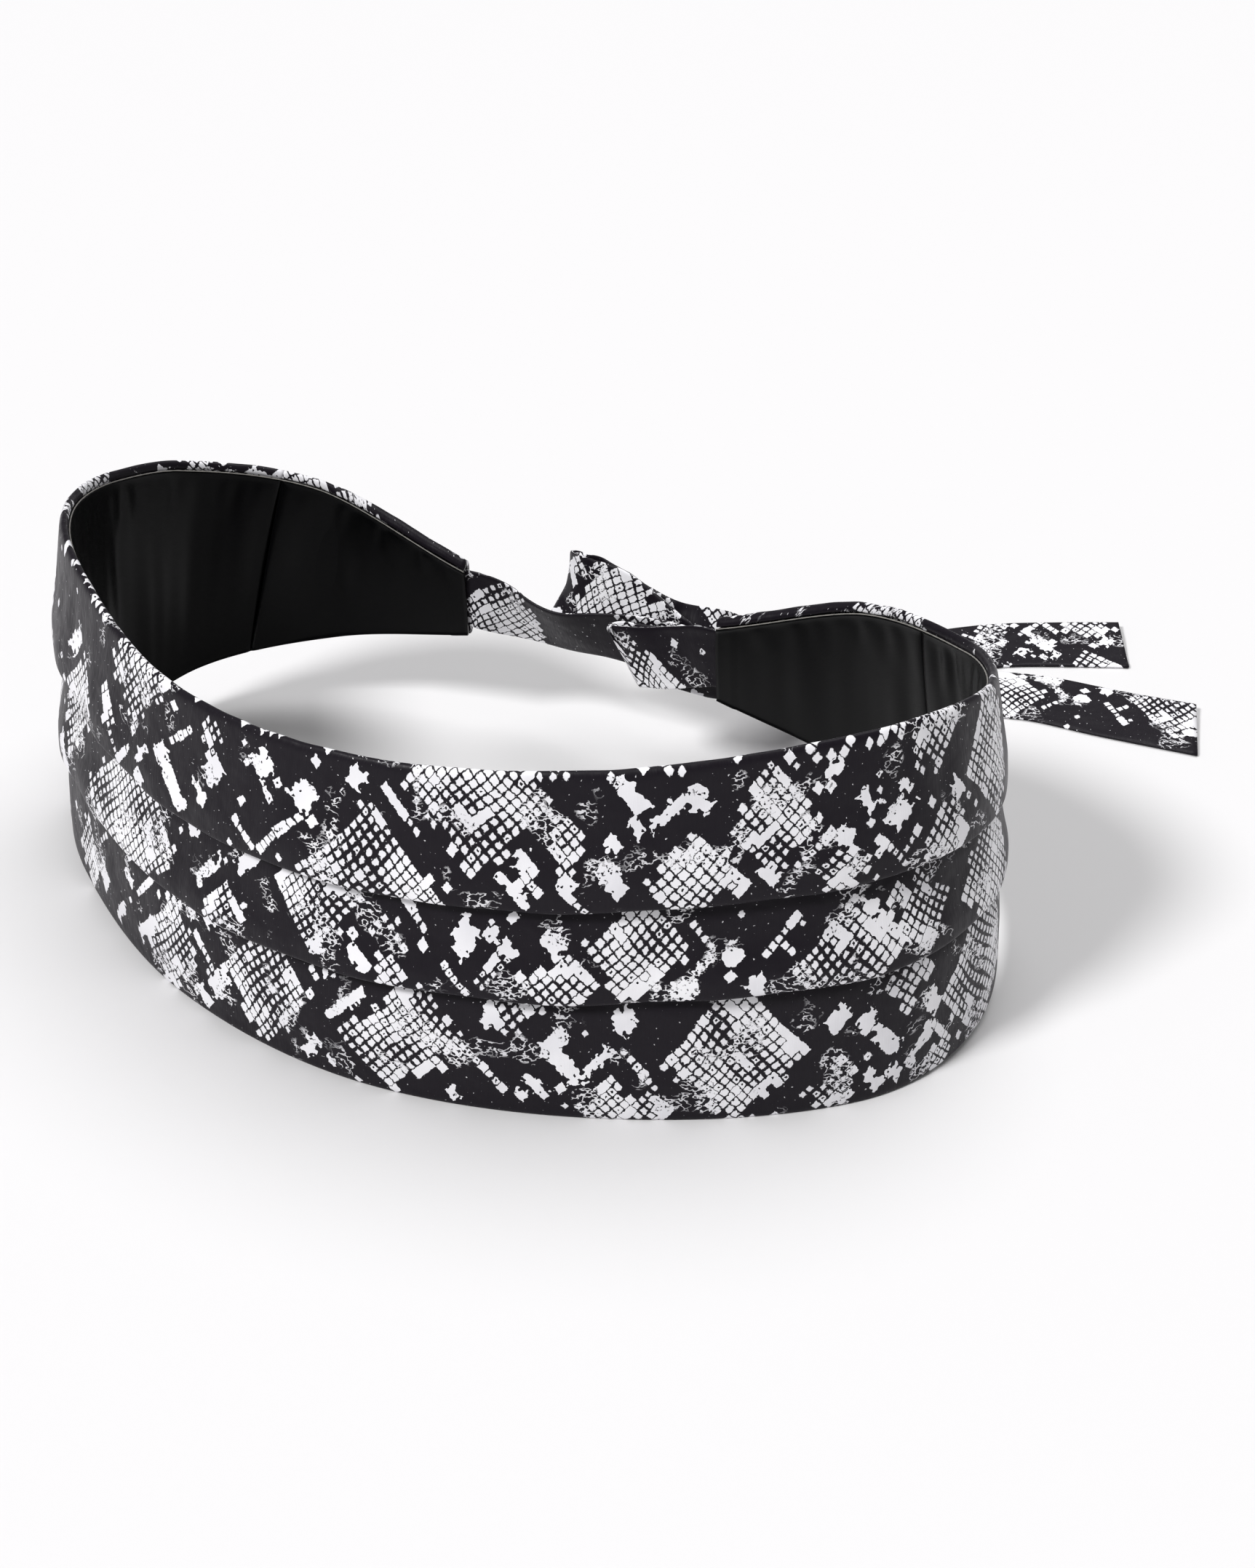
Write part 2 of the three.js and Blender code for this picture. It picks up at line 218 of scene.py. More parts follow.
# In the tails, across and back are shares of the tail's reach and up one of the knot's height
LOWER_TAIL = (
    TieRow(0.25, 0.01, 0.86, -6, 0.95),
    TieRow(0.31, 0.05, 0.74, -22, 1),
    TieRow(0.365, 0.14, 0.5, -45, 1.03),
    TieRow(0.4, 0.25, 0.26, -64, 1.08),
    TieRow(0.435, 0.36, 0.07, -80, 1.14),
    TieRow(0.495, 0.442, 0, -86, 1.2),
    TieRow(0.58, 0.474, 0, -87, 1.24),
    TieRow(0.72, 0.476, 0, -87, 1.27),
    TieRow(0.862, 0.482, 0, -87, 1.32, 13),
)
UPPER_TAIL = (
    TieRow(0.17, 0.1, 0.8, -40, 0.98),
    TieRow(0.215, 0.15, 0.69, -48, 1),
    TieRow(0.265, 0.265, 0.42, -62, 1.04),
    TieRow(0.31, 0.415, 0.13, -78, 1.1),
    TieRow(0.38, 0.545, 0.01, -86, 1.17),
    TieRow(0.475, 0.625, 0, -87, 1.22),
    TieRow(0.575, 0.675, 0, -87, 1.26),
    TieRow(0.673, 0.717, 0, -87, 1.3),
)


@dataclass
class SmoothTable:
    """A smooth curve through rows of values, with a slope at each row that its neighbours set."""

    places: np.ndarray
    values: np.ndarray

    def at(self, wanted: np.ndarray) -> np.ndarray:
        """Values of every column at the wanted places.

        Args:
            wanted: Places along the table, any number of them.

        Returns:
            One row of values for each place.
        """
        last = len(self.places) - 1
        wanted = np.clip(wanted, self.places[0], self.places[-1])
        right = np.clip(np.searchsorted(self.places, wanted, side="right"), 1, last)
        left = right - 1
        before = np.where(left > 0, left - 1, right)
        after = np.where(right < last, right + 1, left)
        start, end = self.places[left], self.places[right]
        half = (end - start) / 2
        w_before = (half / (start - self.places[before]))[:, None]
        w_after = (half / (self.places[after] - end))[:, None]
        t = ((wanted - start) / (end - start))[:, None]
        t2, t3 = t * t, t * t * t
        return (
            (-w_before * t3 + 2 * w_before * t2 - w_before * t) * self.values[before]
            + ((1 + w_before) * t3 + (-1.5 - 2 * w_before) * t2 + (-0.5 + w_before) * t + 1)
            * self.values[left]
            + ((-1 - w_after) * t3 + (1.5 + w_after) * t2 + 0.5 * t) * self.values[right]
            + (w_after * t3 - w_after * t2) * self.values[after]
        )


@dataclass
class Sections:
    """Stations of the band: plan points, heights, outward directions and lengths along it."""

    along: np.ndarray
    x: np.ndarray
    y: np.ndarray
    top: np.ndarray
    bottom: np.ndarray
    outward: np.ndarray
    length: np.ndarray

    @property
    def height(self) -> np.ndarray:
        """Local height of the band."""
        return self.top - self.bottom

    def share(self, z: np.ndarray) -> np.ndarray:
        """How far up the band heights are.

        Args:
            z: Heights, n by m.

        Returns:
            Shares of the local height, 0 at the hem and 1 at the top edge.
        """
        return np.clip((z - self.bottom[:, None]) / self.height[:, None], 0, 1)


@dataclass
class BandLine:
    """The line that the band follows, with its heights and lean."""

    sizes: Sizes = SIZES
    rows: tuple[BandRow, ...] = BAND
    seam: float = SHARES.seam
    # How far the left and the right side seam lean back at the top and forward at the hem
    seam_slant: tuple[float, float] = (9.0, 5.0)
    seam_forward: tuple[float, float] = (0.0, 10.0)  # how far each lies in front of its share
    slant_reach: float = 70.0  # how far from the seam the cloth still turns with it
    table: SmoothTable = field(init=False)
    measured: tuple[np.ndarray, np.ndarray] = field(init=False)

    def __post_init__(self) -> None:
        """Scales the shares and measures the line's length."""
        s = self.sizes
        self.table = SmoothTable(
            np.array([row.along for row in self.rows]),
            np.array(
                [
                    (row.across * s.width, row.back * s.depth, row.top * s.height, row.bottom * s.height)
                    for row in self.rows
                ]
            ),
        )
        along = np.linspace(-1, 1, 2001)
        x, y = self.table.at(along)[:, :2].T
        length = np.concatenate([[0], np.cumsum(np.hypot(np.diff(x), np.diff(y)))])
        self.measured = (along, length - np.interp(0, along, length))

    def sections(self, along: np.ndarray) -> Sections:
        """Stations at shares along the band.

        Args:
            along: Shares of half the band's length, -1 at its left end and 1 at its right.

        Returns:
            The stations there.
        """
        step = 0.001
        x, y, top, bottom = self.table.at(along).T
        before, after = self.table.at(along - step), self.table.at(along + step)
        outward = np.stack([after[:, 1] - before[:, 1], before[:, 0] - after[:, 0]], 1)
        outward /= np.linalg.norm(outward, axis=1)[:, None]
        length = np.interp(along, *self.measured)
        return Sections(along, x, y, top, np.maximum(bottom, 0), outward, length)

    def shift(self, at: Sections, z: np.ndarray) -> np.ndarray:
        """How far points lie along the band from their station, since the side seams slant.

        Args:
            at: The stations, n of them.
            z: Heights, n by m.

        Returns:
            Shifts in millimetres, n by m.
        """
        side, left = np.sign(at.along), at.along < 0
        slant, forward = np.where(left, *self.seam_slant), np.where(left, *self.seam_forward)
        from_seam = np.abs(at.length - np.interp(side * self.seam, *self.measured))
        near = side * (1 - smoothstep(from_seam, 0, self.slant_reach))
        return near[:, None] * (slant[:, None] * (2 * at.share(z) - 1) - forward[:, None])

    def points(self, at: Sections, depth: np.ndarray, z: np.ndarray) -> np.ndarray:
        """Points of the wall in millimetres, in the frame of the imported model.

        Args:
            at: The stations, n of them.
            depth: Depths outwards from the lining's inner face, n by m.
            z: Heights, n by m.

        Returns:
            Points, n by m by 3.
        """
        z = np.broadcast_to(z, np.broadcast_shapes(np.shape(z), np.shape(depth)))
        share = at.share(z)
        length = at.length[:, None] + self.shift(at, z)
        there = self.sections(np.interp(length.ravel(), *self.measured[::-1]))
        x, y, top, bottom = (v.reshape(z.shape) for v in (there.x, there.y, there.top, there.bottom))
        z = z + share * (top - at.top[:, None]) + (1 - share) * (bottom - at.bottom[:, None])
        outward = there.outward.reshape(*z.shape, 2)
        offset = depth - self.sizes.on_plan - self.sizes.lean * z / self.sizes.height
        x = x + outward[..., 0] * offset
        y = y + outward[..., 1] * offset - self.sizes.on_plan / 2
        return np.stack([x, y, z], -1)


@dataclass(frozen=True)
class Ripples:
    """Soft irregular waves, a sum of sines whose lengths and phases come from one seed."""

    seed: int
    shortest: float
    longest: float
    count: int = 7

    def at(self, along: np.ndarray, up: np.ndarray) -> np.ndarray:
        """Height of the waves, about -1 to 1.

        Args:
            along: Places along the cloth in millimetres.
            up: Places up the cloth in millimetres.

        Returns:
            One height for each place.
        """
        rng = np.random.default_rng(self.seed)
        total = np.zeros(np.broadcast(along, up).shape)
        for _ in range(self.count):
            length = rng.uniform(self.shortest, self.longest)
            lean = rng.uniform(-0.35, 0.35)
            phase = rng.uniform(0, 2 * math.pi)
            drift = rng.uniform(0.3, 0.8)
            wave = 2 * math.pi * (along + lean * up) / length + phase
            total = total + np.sin(wave + drift * np.sin(wave * 0.37 + phase))
        return total / self.count**0.5 / 1.2


def smoothstep(value: np.ndarray, low: float, high: float) -> np.ndarray:
    """Share from 0 to 1 with soft ends.

    Args:
        value: Values to place between the limits.
        low: Value that gives 0.
        high: Value that gives 1.

    Returns:
        The share for each value.
    """
    t = np.clip((value - low) / (high - low), 0, 1)
    return t * t * (3 - 2 * t)


def rounded_loop(corners: list[tuple], counts: list[int], passes: int) -> np.ndarray:
    """A closed outline with its corners rounded.

    Args:
        corners: Corners as (depth, z), each an array over the stations or a number.
        counts: Number of points on the side after each corner.
        passes: How many times the outline is smoothed.

    Returns:
        Outlines, stations by points by 2.
    """
    stations = max(np.size(value) for corner in corners for value in corner)
    table = np.stack(
        [np.stack([np.broadcast_to(v, stations) for v in corner], -1) for corner in corners], 1
    )
    sides = []
    for place, count in enumerate(counts):
        here, there = table[:, place], table[:, (place + 1) % len(corners)]
        t = np.arange(count)[None, :, None] / count
        sides.append(here[:, None] * (1 - t) + there[:, None] * t)
    loop = np.concatenate(sides, 1)
    for _ in range(passes):
        loop = (np.roll(loop, 1, 1) + 2 * loop + np.roll(loop, -1, 1)) / 4
    return loop


def shell(
    name: str, rings: np.ndarray, cloth: np.ndarray, material: bpy.types.Material
) -> bpy.types.Object:
    """A closed shell of cloth through rings of points.

    Args:
        name: The piece's name.
        rings: Points in millimetres, stations by points by 3.
        cloth: Places on the flat cloth in millimetres, stations by points + 1 by 2.
        material: The piece's finish.

    Returns:
        The piece, which rides on the part's only body.
    """
    stations, around = rings.shape[:2]
    station, point = np.meshgrid(np.arange(stations - 1), np.arange(around), indexing="ij")
    following = (point + 1) % around
    quads = np.stack(
        [
            station * around + point,
            station * around + following,
            (station + 1) * around + following,
            (station + 1) * around + point,
        ],
        -1,
    ).reshape(-1, 4)
    first = np.arange(around)[::-1]
    ends = [list(first), list((stations - 1) * around + first[::-1])]
    mesh = bpy.data.meshes.new(name)
    mesh.from_pydata((rings.reshape(-1, 3) * METRES).tolist(), [], quads.tolist() + ends)
    mesh.materials.append(material)
    uv = mesh.uv_layers.new(name="cloth")
    corners = np.stack(
        [
            cloth[station, point],
            cloth[station, point + 1],
            cloth[station + 1, point + 1],
            cloth[station + 1, point],
        ],
        -2,
    ).reshape(-1, 2)
    caps = np.concatenate([cloth[0, first], cloth[-1, first[::-1]]])
    uv.data.foreach_set("uv", np.concatenate([corners, caps]).astype(np.float32).ravel())
    mesh.polygons.foreach_set("use_smooth", np.ones(len(mesh.polygons), dtype=bool))
    mesh.update()
    piece = bpy.data.objects.new(name, mesh)
    bpy.context.scene.collection.objects.link(piece)
    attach(piece, BODY)
    LOG.info("%s: %d faces", name, len(mesh.polygons))
    return piece


def outline_lengths(rings: np.ndarray) -> np.ndarray:
    """Length around each ring, from its first point back to it.

    Args:
        rings: Points, stations by points by 3.

    Returns:
        Lengths, stations by points + 1.
    """
    closed = np.concatenate([rings, rings[:, :1]], 1)
    steps = np.linalg.norm(np.diff(closed, axis=1), axis=2)
    return np.concatenate([np.zeros((len(rings), 1)), np.cumsum(steps, 1)], 1)


# Finishes


def linear(code: str) -> tuple[float, float, float, float]:
    """Linear colour of an sRGB hex code.

    Args:
        code: Six hex digits.

    Returns:
        Red, green, blue and full opacity.
    """
    shares = [int(code[place : place + 2], 16) / 255 for place in (0, 2, 4)]
    red, green, blue = (s / 12.92 if s <= 0.04045 else ((s + 0.055) / 1.055) ** 2.4 for s in shares)
    return red, green, blue, 1.0


class Finish:
    """A material that grows node by node."""

    def __init__(self, name: str) -> None:
        """Starts the material with an empty tree.

        Args:
            name: The material's name.
        """
        self.material = bpy.data.materials.new(name)
        self.material.use_nodes = True
        self.tree = self.material.node_tree
        self.tree.nodes.clear()

    def add(self, kind: str, inputs: dict, **settings: object) -> Socket:
        """Adds a node with its settings and links.

        Args:
            kind: The node's type.
            inputs: For each input's name or number, a value, or a socket to link.
            settings: Properties of the node.

        Returns:
            The node's first enabled output.
        """
        node = self.tree.nodes.new(kind)
        for name, value in settings.items():
            setattr(node, name, value)
        for key, value in inputs.items():
            if isinstance(value, Socket):
                self.tree.links.new(value, node.inputs[key])
            else:
                node.inputs[key].default_value = value
        return next((output for output in node.outputs if output.enabled), None)


MATH = "ShaderNodeMath"
VECTOR = "ShaderNodeVectorMath"
NOISE = "ShaderNodeTexNoise"
RANGE = "ShaderNodeMapRange"


class Strip(Enum):
    """Strips of the print that the pleats are cut from, by the height of their lower edge on it."""

    LOW = 0.0
    MIDDLE = 60.0
    TOP = 115.0


@dataclass(frozen=True)
class Patch:
    """A patch of light scales: its centre on its strip in millimetres and its half sides in scales."""

    along: float
    up: float
    rising: float
    falling: float


# The print's marks, listed one by one. Diamonds and chains are of scales with dark outlines, and in
# blots the scales have run together.
DIAMONDS = {
    Strip.LOW: (
        Patch(-143, 15, 3.2, 3.0),
        Patch(-78, 17, 5.0, 3.8),
        Patch(-32, 22, 5.2, 4.6),
        Patch(17, 22, 6.4, 4.2),
        Patch(51, 36, 2.3, 2.3),
        Patch(79, 4, 2.6, 2.6),
        Patch(116, 21, 5.7, 5.6),
        Patch(145, 8, 2.4, 2.0),
        Patch(170, 37, 2.4, 2.4),
        Patch(183, 4, 2.0, 1.8),
        Patch(208, 24, 6.3, 6.3),
    ),
    Strip.MIDDLE: (
        Patch(-150, 24, 4.2, 3.0),
        Patch(-100, 13, 8.0, 7.6),
        Patch(-46, 9, 3.0, 2.2),
        Patch(-11, 26, 4.6, 4.6),
        Patch(13, 6, 1.6, 2.0),
        Patch(66, 7, 2.9, 2.9),
        Patch(87, 19, 4.1, 4.3),
        Patch(149, 9, 5.0, 4.6),
        Patch(175, 16, 3.2, 3.2),
        Patch(212, 12, 6.0, 6.0),
    ),
    Strip.TOP: (
        Patch(-138, 6, 4.5, 3.0),
        Patch(-92, 38, 5.0, 4.6),
        Patch(-53, 35, 1.6, 1.6),
        Patch(7, 3, 6.4, 6.2),
        Patch(41, 37, 6.1, 6.1),
        Patch(67.5, 24, 1.7, 1.6),
        Patch(103, 9, 3.5, 3.4),
        Patch(126, 25, 3.9, 3.9),
        Patch(145, 7, 2.4, 2.4),
        Patch(181, 7, 2.8, 3.0),
        Patch(180, 40, 3.2, 2.8),
        Patch(214, 24, 5.8, 5.8),
    ),
}
CHAINS = {
    Strip.LOW: (
        Patch(-126, 27, 2.4, 0.5),
        Patch(-92, 32, 4.0, 0.5),
        Patch(-59, 22, 0.5, 2.2),
        Patch(42, 15, 0.6, 3.4),
        Patch(84, 22, 0.5, 1.4),
        Patch(89, 17, 0.5, 2.4),
        Patch(92, 5, 1.5, 1.8),
        Patch(185, 13, 0.6, 2.5),
    ),
    Strip.MIDDLE: (
        Patch(9, 20, 1.4, 0.5),
        Patch(15, 17, 0.6, 1.6),
        Patch(19, 24, 0.5, 1.6),
        Patch(33, 9, 0.5, 2.5),
        Patch(47, 12, 2.6, 0.6),
        Patch(106, 22, 0.5, 1.8),
        Patch(126, 19, 2.4, 0.6),
        Patch(131, 17, 0.5, 1.2),
        Patch(135, 25, 0.5, 1.0),
        Patch(166, 25, 1.0, 1.2),
    ),
    Strip.TOP: (
        Patch(-108, 14, 0.6, 4.0),
        Patch(-112, 17, 1.0, 2.2),
        Patch(-100, 5, 3.0, 0.6),
        Patch(-68, 27, 2.6, 0.4),
        Patch(-35, 7, 0.6, 1.6),
        Patch(-23, 11, 4.0, 0.6),
        Patch(-19, 17, 1.6, 0.5),
        Patch(19, 29, 0.5, 3.2),
        Patch(56, 10, 0.4, 1.4),
        Patch(63, 29, 0.4, 2.0),
        Patch(66, 17, 1.6, 0.5),
        Patch(69, 5, 0.5, 1.8),
        Patch(115, 6, 1.0, 0.8),
        Patch(139, 16, 3.0, 0.6),
        Patch(158, 30, 0.8, 0.8),
        Patch(159, 9, 0.5, 2.2),
        Patch(167, 9, 1.8, 0.5),
        Patch(186, 14, 0.6, 1.8),
    ),
}
BLOTS = {
    Strip.LOW: (
        Patch(-127, 14, 1.6, 1.6),
        Patch(-112, 8, 1.8, 0.6),
        Patch(-105, 27, 0.9, 1.0),
        Patch(-92, 14, 2.8, 0.8),
        Patch(-65, 33, 0.6, 0.9),
        Patch(-55, 36, 1.8, 1.0),
        Patch(-52, 14, 1.8, 1.0),
        Patch(-60, 7, 0.8, 1.3),
        Patch(-9, 37, 0.6, 1.2),
        Patch(-1, 27, 2.6, 0.6),
        Patch(-14, 8, 1.9, 0.8),
        Patch(-7, 4, 0.6, 0.8),
        Patch(32, 5, 0.8, 0.8),
        Patch(45, 32, 0.8, 0.8),
        Patch(53, 7, 0.6, 0.7),
        Patch(58, 10, 0.5, 1.5),
        Patch(64, 20, 0.9, 2.4),
        Patch(64, 27, 0.9, 0.9),
        Patch(74, 19, 3.0, 0.5),
        Patch(84, 33, 1.1, 1.0),
        Patch(146, 32, 1.5, 1.0),
        Patch(155, 29, 1.6, 0.8),
        Patch(161, 21, 0.9, 2.2),
        Patch(164, 8, 0.7, 1.0),
        Patch(157, 8, 0.6, 1.5),
        Patch(174, 13, 2.8, 0.6),
        Patch(180, 26, 1.0, 1.7),
    ),
    Strip.MIDDLE: (
        Patch(-157, 4, 0.9, 2.6),
        Patch(-64, 27, 0.7, 0.9),
        Patch(-54, 19, 2.6, 0.5),
        Patch(-39, 26, 1.5, 0.9),
        Patch(-9, 9, 0.8, 0.8),
        Patch(3, 8, 0.8, 1.4),
        Patch(37, 21, 1.5, 1.4),
        Patch(46, 22, 0.7, 0.9),
        Patch(51, 18, 0.7, 1.0),
        Patch(64, 21, 1.0, 1.1),
        Patch(114, 16, 1.1, 1.1),
        Patch(106, 13, 1.4, 0.4),
        Patch(101, 4, 1.2, 1.5),
        Patch(122, 5, 0.9, 1.0),
        Patch(160, 18, 0.5, 4.2),
    ),
    Strip.TOP: (
        Patch(-145, 22, 2.4, 1.0),
        Patch(-86, 13, 1.4, 0.5),
        Patch(-71, 11, 1.0, 3.6),
        Patch(-87, 4, 0.8, 0.8),
        Patch(-50, 24, 1.6, 1.3),
        Patch(-56, 14, 0.8, 1.6),
        Patch(-30, 32, 1.4, 1.4),
        Patch(-27, 23, 0.5, 1.0),
        Patch(-14, 27, 1.4, 1.4),
        Patch(3, 36, 1.3, 0.9),
        Patch(54, 17, 0.9, 0.9),
        Patch(52, 8, 0.5, 2.2),
        Patch(67, 11, 0.8, 1.1),
        Patch(86, 35, 0.8, 1.9),
        Patch(88, 26, 0.6, 0.9),
        Patch(81, 22, 0.5, 1.2),
        Patch(81, 12, 0.9, 2.2),
        Patch(80, 15, 0.9, 0.6),
        Patch(97, 31, 2.4, 0.5),
        Patch(105, 34, 0.9, 1.3),
        Patch(125, 8, 0.9, 1.2),
        Patch(143, 39, 1.0, 0.9),
        Patch(154, 28, 0.7, 1.2),
        Patch(147, 20, 1.0, 0.9),
        Patch(163, 21, 1.6, 1.3),
        Patch(166, 28, 0.5, 0.8),
        Patch(187, 21, 0.9, 1.0),
    ),
}


@dataclass(frozen=True)
class SnakeskinPrint:
    """Screen-printed polyester satin: the ink lies flat, so print and ground share one soft sheen.

    The print is a lattice of scales. Diamonds of light scales with dark outlines stand in dark
    ground, with chains of single scales beside them and blots where scales have run together.
    """

    ground: str = "161219"
    light: str = "f6f5f8"
    shade: str = "e0dfe4"
    across: float = 3.8  # width of one scale, corner to corner
    tall: float = 4.4  # height of one scale, corner to corner
    first_along: int = -48  # where a repeat starts, in scales
    first_up: int = -3
    repeat_along: int = 108  # a repeat is whole numbers of scales, so that the lattice runs on
    repeat_up: int = 42
    roll_up: float = 35.6  # where the cloth of the rolled top edge starts, in scales
    bend_over: float = 38.0  # millimetres in which the hand-drawn lattice bends
    bend_by: float = 7.0
    ragged_over: float = 1.2  # size of the ragged bits of an ink edge in millimetres
    ragged_by: float = 0.36
    squareness: float = 7.0  # power that gives the scales their nearly straight sides
    wander: float = 0.9  # how unevenly a diamond's edge takes in the scales along it
    blot_over: float = 3.2  # size of a blot's lobes in millimetres
    blot_by: float = 1.9
    strays: float = 0.03  # share of the ground's scales that are light
    more_on_roll: float = 0.3
    outline_over: float = 19.0  # millimetres in which the outlines grow thick or thin
    ink_edge: float = 0.06
    worn_over: float = 14.0  # size of the worn parts in millimetres
    grain: float = 1.1  # size of the bites and specks in millimetres
    crease_over: float = 11.0
    rib: float = 0.5  # the satin's diagonal ribs, drawn coarser than real so that they show
    specular: float = 0.17
    sheen: float = 0.05

    def nearest(
        self,
        finish: Finish,
        rising: Socket,
        falling: Socket,
        table: dict[Strip, tuple[Patch, ...]],
    ) -> Socket:
        """Distance of a scale from the nearest patch's edge, in scales, negative inside.

        Three patches are measured at a time, one in each component of a vector.

        Args:
            finish: The material to add to.
            rising: The scale's place along the rising rows.
            falling: The scale's place along the falling rows.
            table: The patches of each strip.

        Returns:
            The distance.
        """
        rows = []
        for strip, patches in table.items():
            for patch in patches:
                a, b = patch.along / self.across, (strip.value + patch.up) / self.tall
                rows.append((a + b, a - b, patch.rising, patch.falling))
        rows += [rows[-1]] * (-len(rows) % 3)
        lowest = None
        for first in range(0, len(rows), 3):
            to_rising, to_falling, half_rising, half_falling = zip(*rows[first : first + 3])
            sides = []
            for place, middle, half in (
                (rising, to_rising, half_rising),
                (falling, to_falling, half_falling),
            ):
                away = finish.add(VECTOR, {0: place, 1: middle}, operation="SUBTRACT")
                away = finish.add(VECTOR, {0: away}, operation="ABSOLUTE")
                sides.append(finish.add(VECTOR, {0: away, 1: half}, operation="SUBTRACT"))
            away = finish.add(VECTOR, {0: sides[0], 1: sides[1]}, operation="MAXIMUM")
            lowest = away if lowest is None else finish.add(
                VECTOR, {0: lowest, 1: away}, operation="MINIMUM"
            )
        three = finish.add("ShaderNodeSeparateXYZ", {0: lowest}).node.outputs
        two = finish.add(MATH, {0: three["X"], 1: three["Y"]}, operation="MINIMUM")
        return finish.add(MATH, {0: two, 1: three["Z"]}, operation="MINIMUM")

    def build(self) -> bpy.types.Material:
        """Makes the material.

        Returns:
            The printed satin.
        """
        finish = Finish("printed_polyester_satin")
        add = finish.add
        cloth = add("ShaderNodeUVMap", {}, uv_map="cloth")
        # The print was drawn by hand, so its lattice bends
        bend = add(
            NOISE, {"Vector": cloth, "Scale": 1 / self.bend_over, "Detail": 1.0}, noise_dimensions="2D"
        )
        bend = add(VECTOR, {0: bend.node.outputs["Color"], 1: (0.5,) * 3}, operation="SUBTRACT")
        bent = (self.bend_by, self.bend_by, 0)
        place = add(VECTOR, {0: bend, 1: bent, 2: cloth}, operation="MULTIPLY_ADD")
        steps = [
            add(VECTOR, {0: place, 1: (1 / self.across, way / self.tall, 0)}, operation="DOT_PRODUCT")
            for way in (1, -1)
        ]
        lattice = add("ShaderNodeCombineXYZ", dict(enumerate(s.node.outputs["Value"] for s in steps)))
        # Ragged edges of the ink, about half a millimetre deep
        ragged = add(
            NOISE, {"Vector": cloth, "Scale": 1 / self.ragged_over, "Detail": 1.5}, noise_dimensions="2D"
        )
        ragged = add(VECTOR, {0: ragged.node.outputs["Color"], 1: (0.5,) * 3}, operation="SUBTRACT")
        deep = (self.ragged_by, self.ragged_by, 0)
        drawn = add(VECTOR, {0: ragged, 1: deep, 2: lattice}, operation="MULTIPLY_ADD")
        corner = add(VECTOR, {0: drawn}, operation="FLOOR")
        scale = add(VECTOR, {0: corner, 1: (0.5, 0.5, 0)}, operation="ADD")
        chance = add("ShaderNodeTexWhiteNoise", {"Vector": corner}, noise_dimensions="2D")
        dice = add("ShaderNodeSeparateXYZ", {0: chance.node.outputs["Color"]}).node.outputs

        # How far a point is from the middle of its scale: 0 there, 1 on the outline
        inside = add(VECTOR, {0: drawn, 1: scale}, operation="SUBTRACT")
        inside = add(VECTOR, {0: inside}, operation="ABSOLUTE")
        inside = add("ShaderNodeSeparateXYZ", {0: inside}).node.outputs
        sides = []
        for axis in ("X", "Y"):
            doubled = add(MATH, {0: inside[axis], 1: 2.0}, operation="MULTIPLY")
            sides.append(add(MATH, {0: doubled, 1: self.squareness}, operation="POWER"))
        radius = add(MATH, {0: sides[0], 1: sides[1]})
        radius = add(MATH, {0: radius, 1: 1 / self.squareness}, operation="POWER")

        # Where the scale stands in the repeat
        wrapped = []
        for way, first, repeat in (
            (0.5, self.first_along, self.repeat_along),
            (-0.5, self.first_up, self.repeat_up),
        ):
            share = add(VECTOR, {0: scale, 1: (0.5, way, 0)}, operation="DOT_PRODUCT")
            share = share.node.outputs["Value"]
            wrapped.append(add(MATH, {0: share, 1: first + repeat, 2: first}, operation="WRAP"))
        rising = add(MATH, {0: wrapped[0], 1: wrapped[1]})
        falling = add(MATH, {0: wrapped[0], 1: wrapped[1]}, operation="SUBTRACT")
        to_diamond = self.nearest(finish, rising, falling, DIAMONDS)
        jitter = {0: dice["X"], 1: self.wander, 2: -self.wander / 2}
        jitter = add(MATH, jitter, operation="MULTIPLY_ADD")
        to_diamond = add(MATH, {0: to_diamond, 1: jitter})
        in_diamond = add(MATH, {0: to_diamond, 1: 0.0}, operation="LESS_THAN")
        in_chain = add(
            MATH, {0: self.nearest(finish, rising, falling, CHAINS), 1: 0.0}, operation="LESS_THAN"
        )
        # A blot keeps only half to the lattice, and its edge wanders by a millimetre or two
        blotted = add(
            NOISE, {"Vector": cloth, "Scale": 1 / self.blot_over, "Detail": 1.5}, noise_dimensions="2D"
        )
        blotted = add(VECTOR, {0: blotted.node.outputs["Color"], 1: (0.5,) * 3}, operation="SUBTRACT")
        off = add(VECTOR, {0: drawn, 1: scale}, operation="SUBTRACT")
        off = add(VECTOR, {0: off, 1: (0.6,) * 3}, operation="MULTIPLY")
        off = add(VECTOR, {0: blotted, 1: (self.blot_by,) * 3, 2: off}, operation="MULTIPLY_ADD")
        off = add("ShaderNodeSeparateXYZ", {0: off}).node.outputs
        to_blot = self.nearest(
            finish, add(MATH, {0: rising, 1: off["X"]}), add(MATH, {0: falling, 1: off["Y"]}), BLOTS
        )
        in_blot = add(MATH, {0: to_blot, 1: 0.0}, operation="LESS_THAN")
        on_roll = add(MATH, {0: wrapped[1], 1: self.roll_up}, operation="GREATER_THAN")
        # Single scales stray into the ground, more of them on the rolled edge
        rare = {0: on_roll, 1: -self.more_on_roll, 2: 1 - self.strays}
        rare = add(MATH, rare, operation="MULTIPLY_ADD")
        stray = add(MATH, {0: dice["Z"], 1: rare}, operation="GREATER_THAN")
        in_chain = add(MATH, {0: in_chain, 1: stray}, operation="MAXIMUM")
        shown = add(MATH, {0: in_diamond, 1: in_chain}, operation="MAXIMUM")
        shown = add(MATH, {0: shown, 1: in_blot}, operation="MAXIMUM")

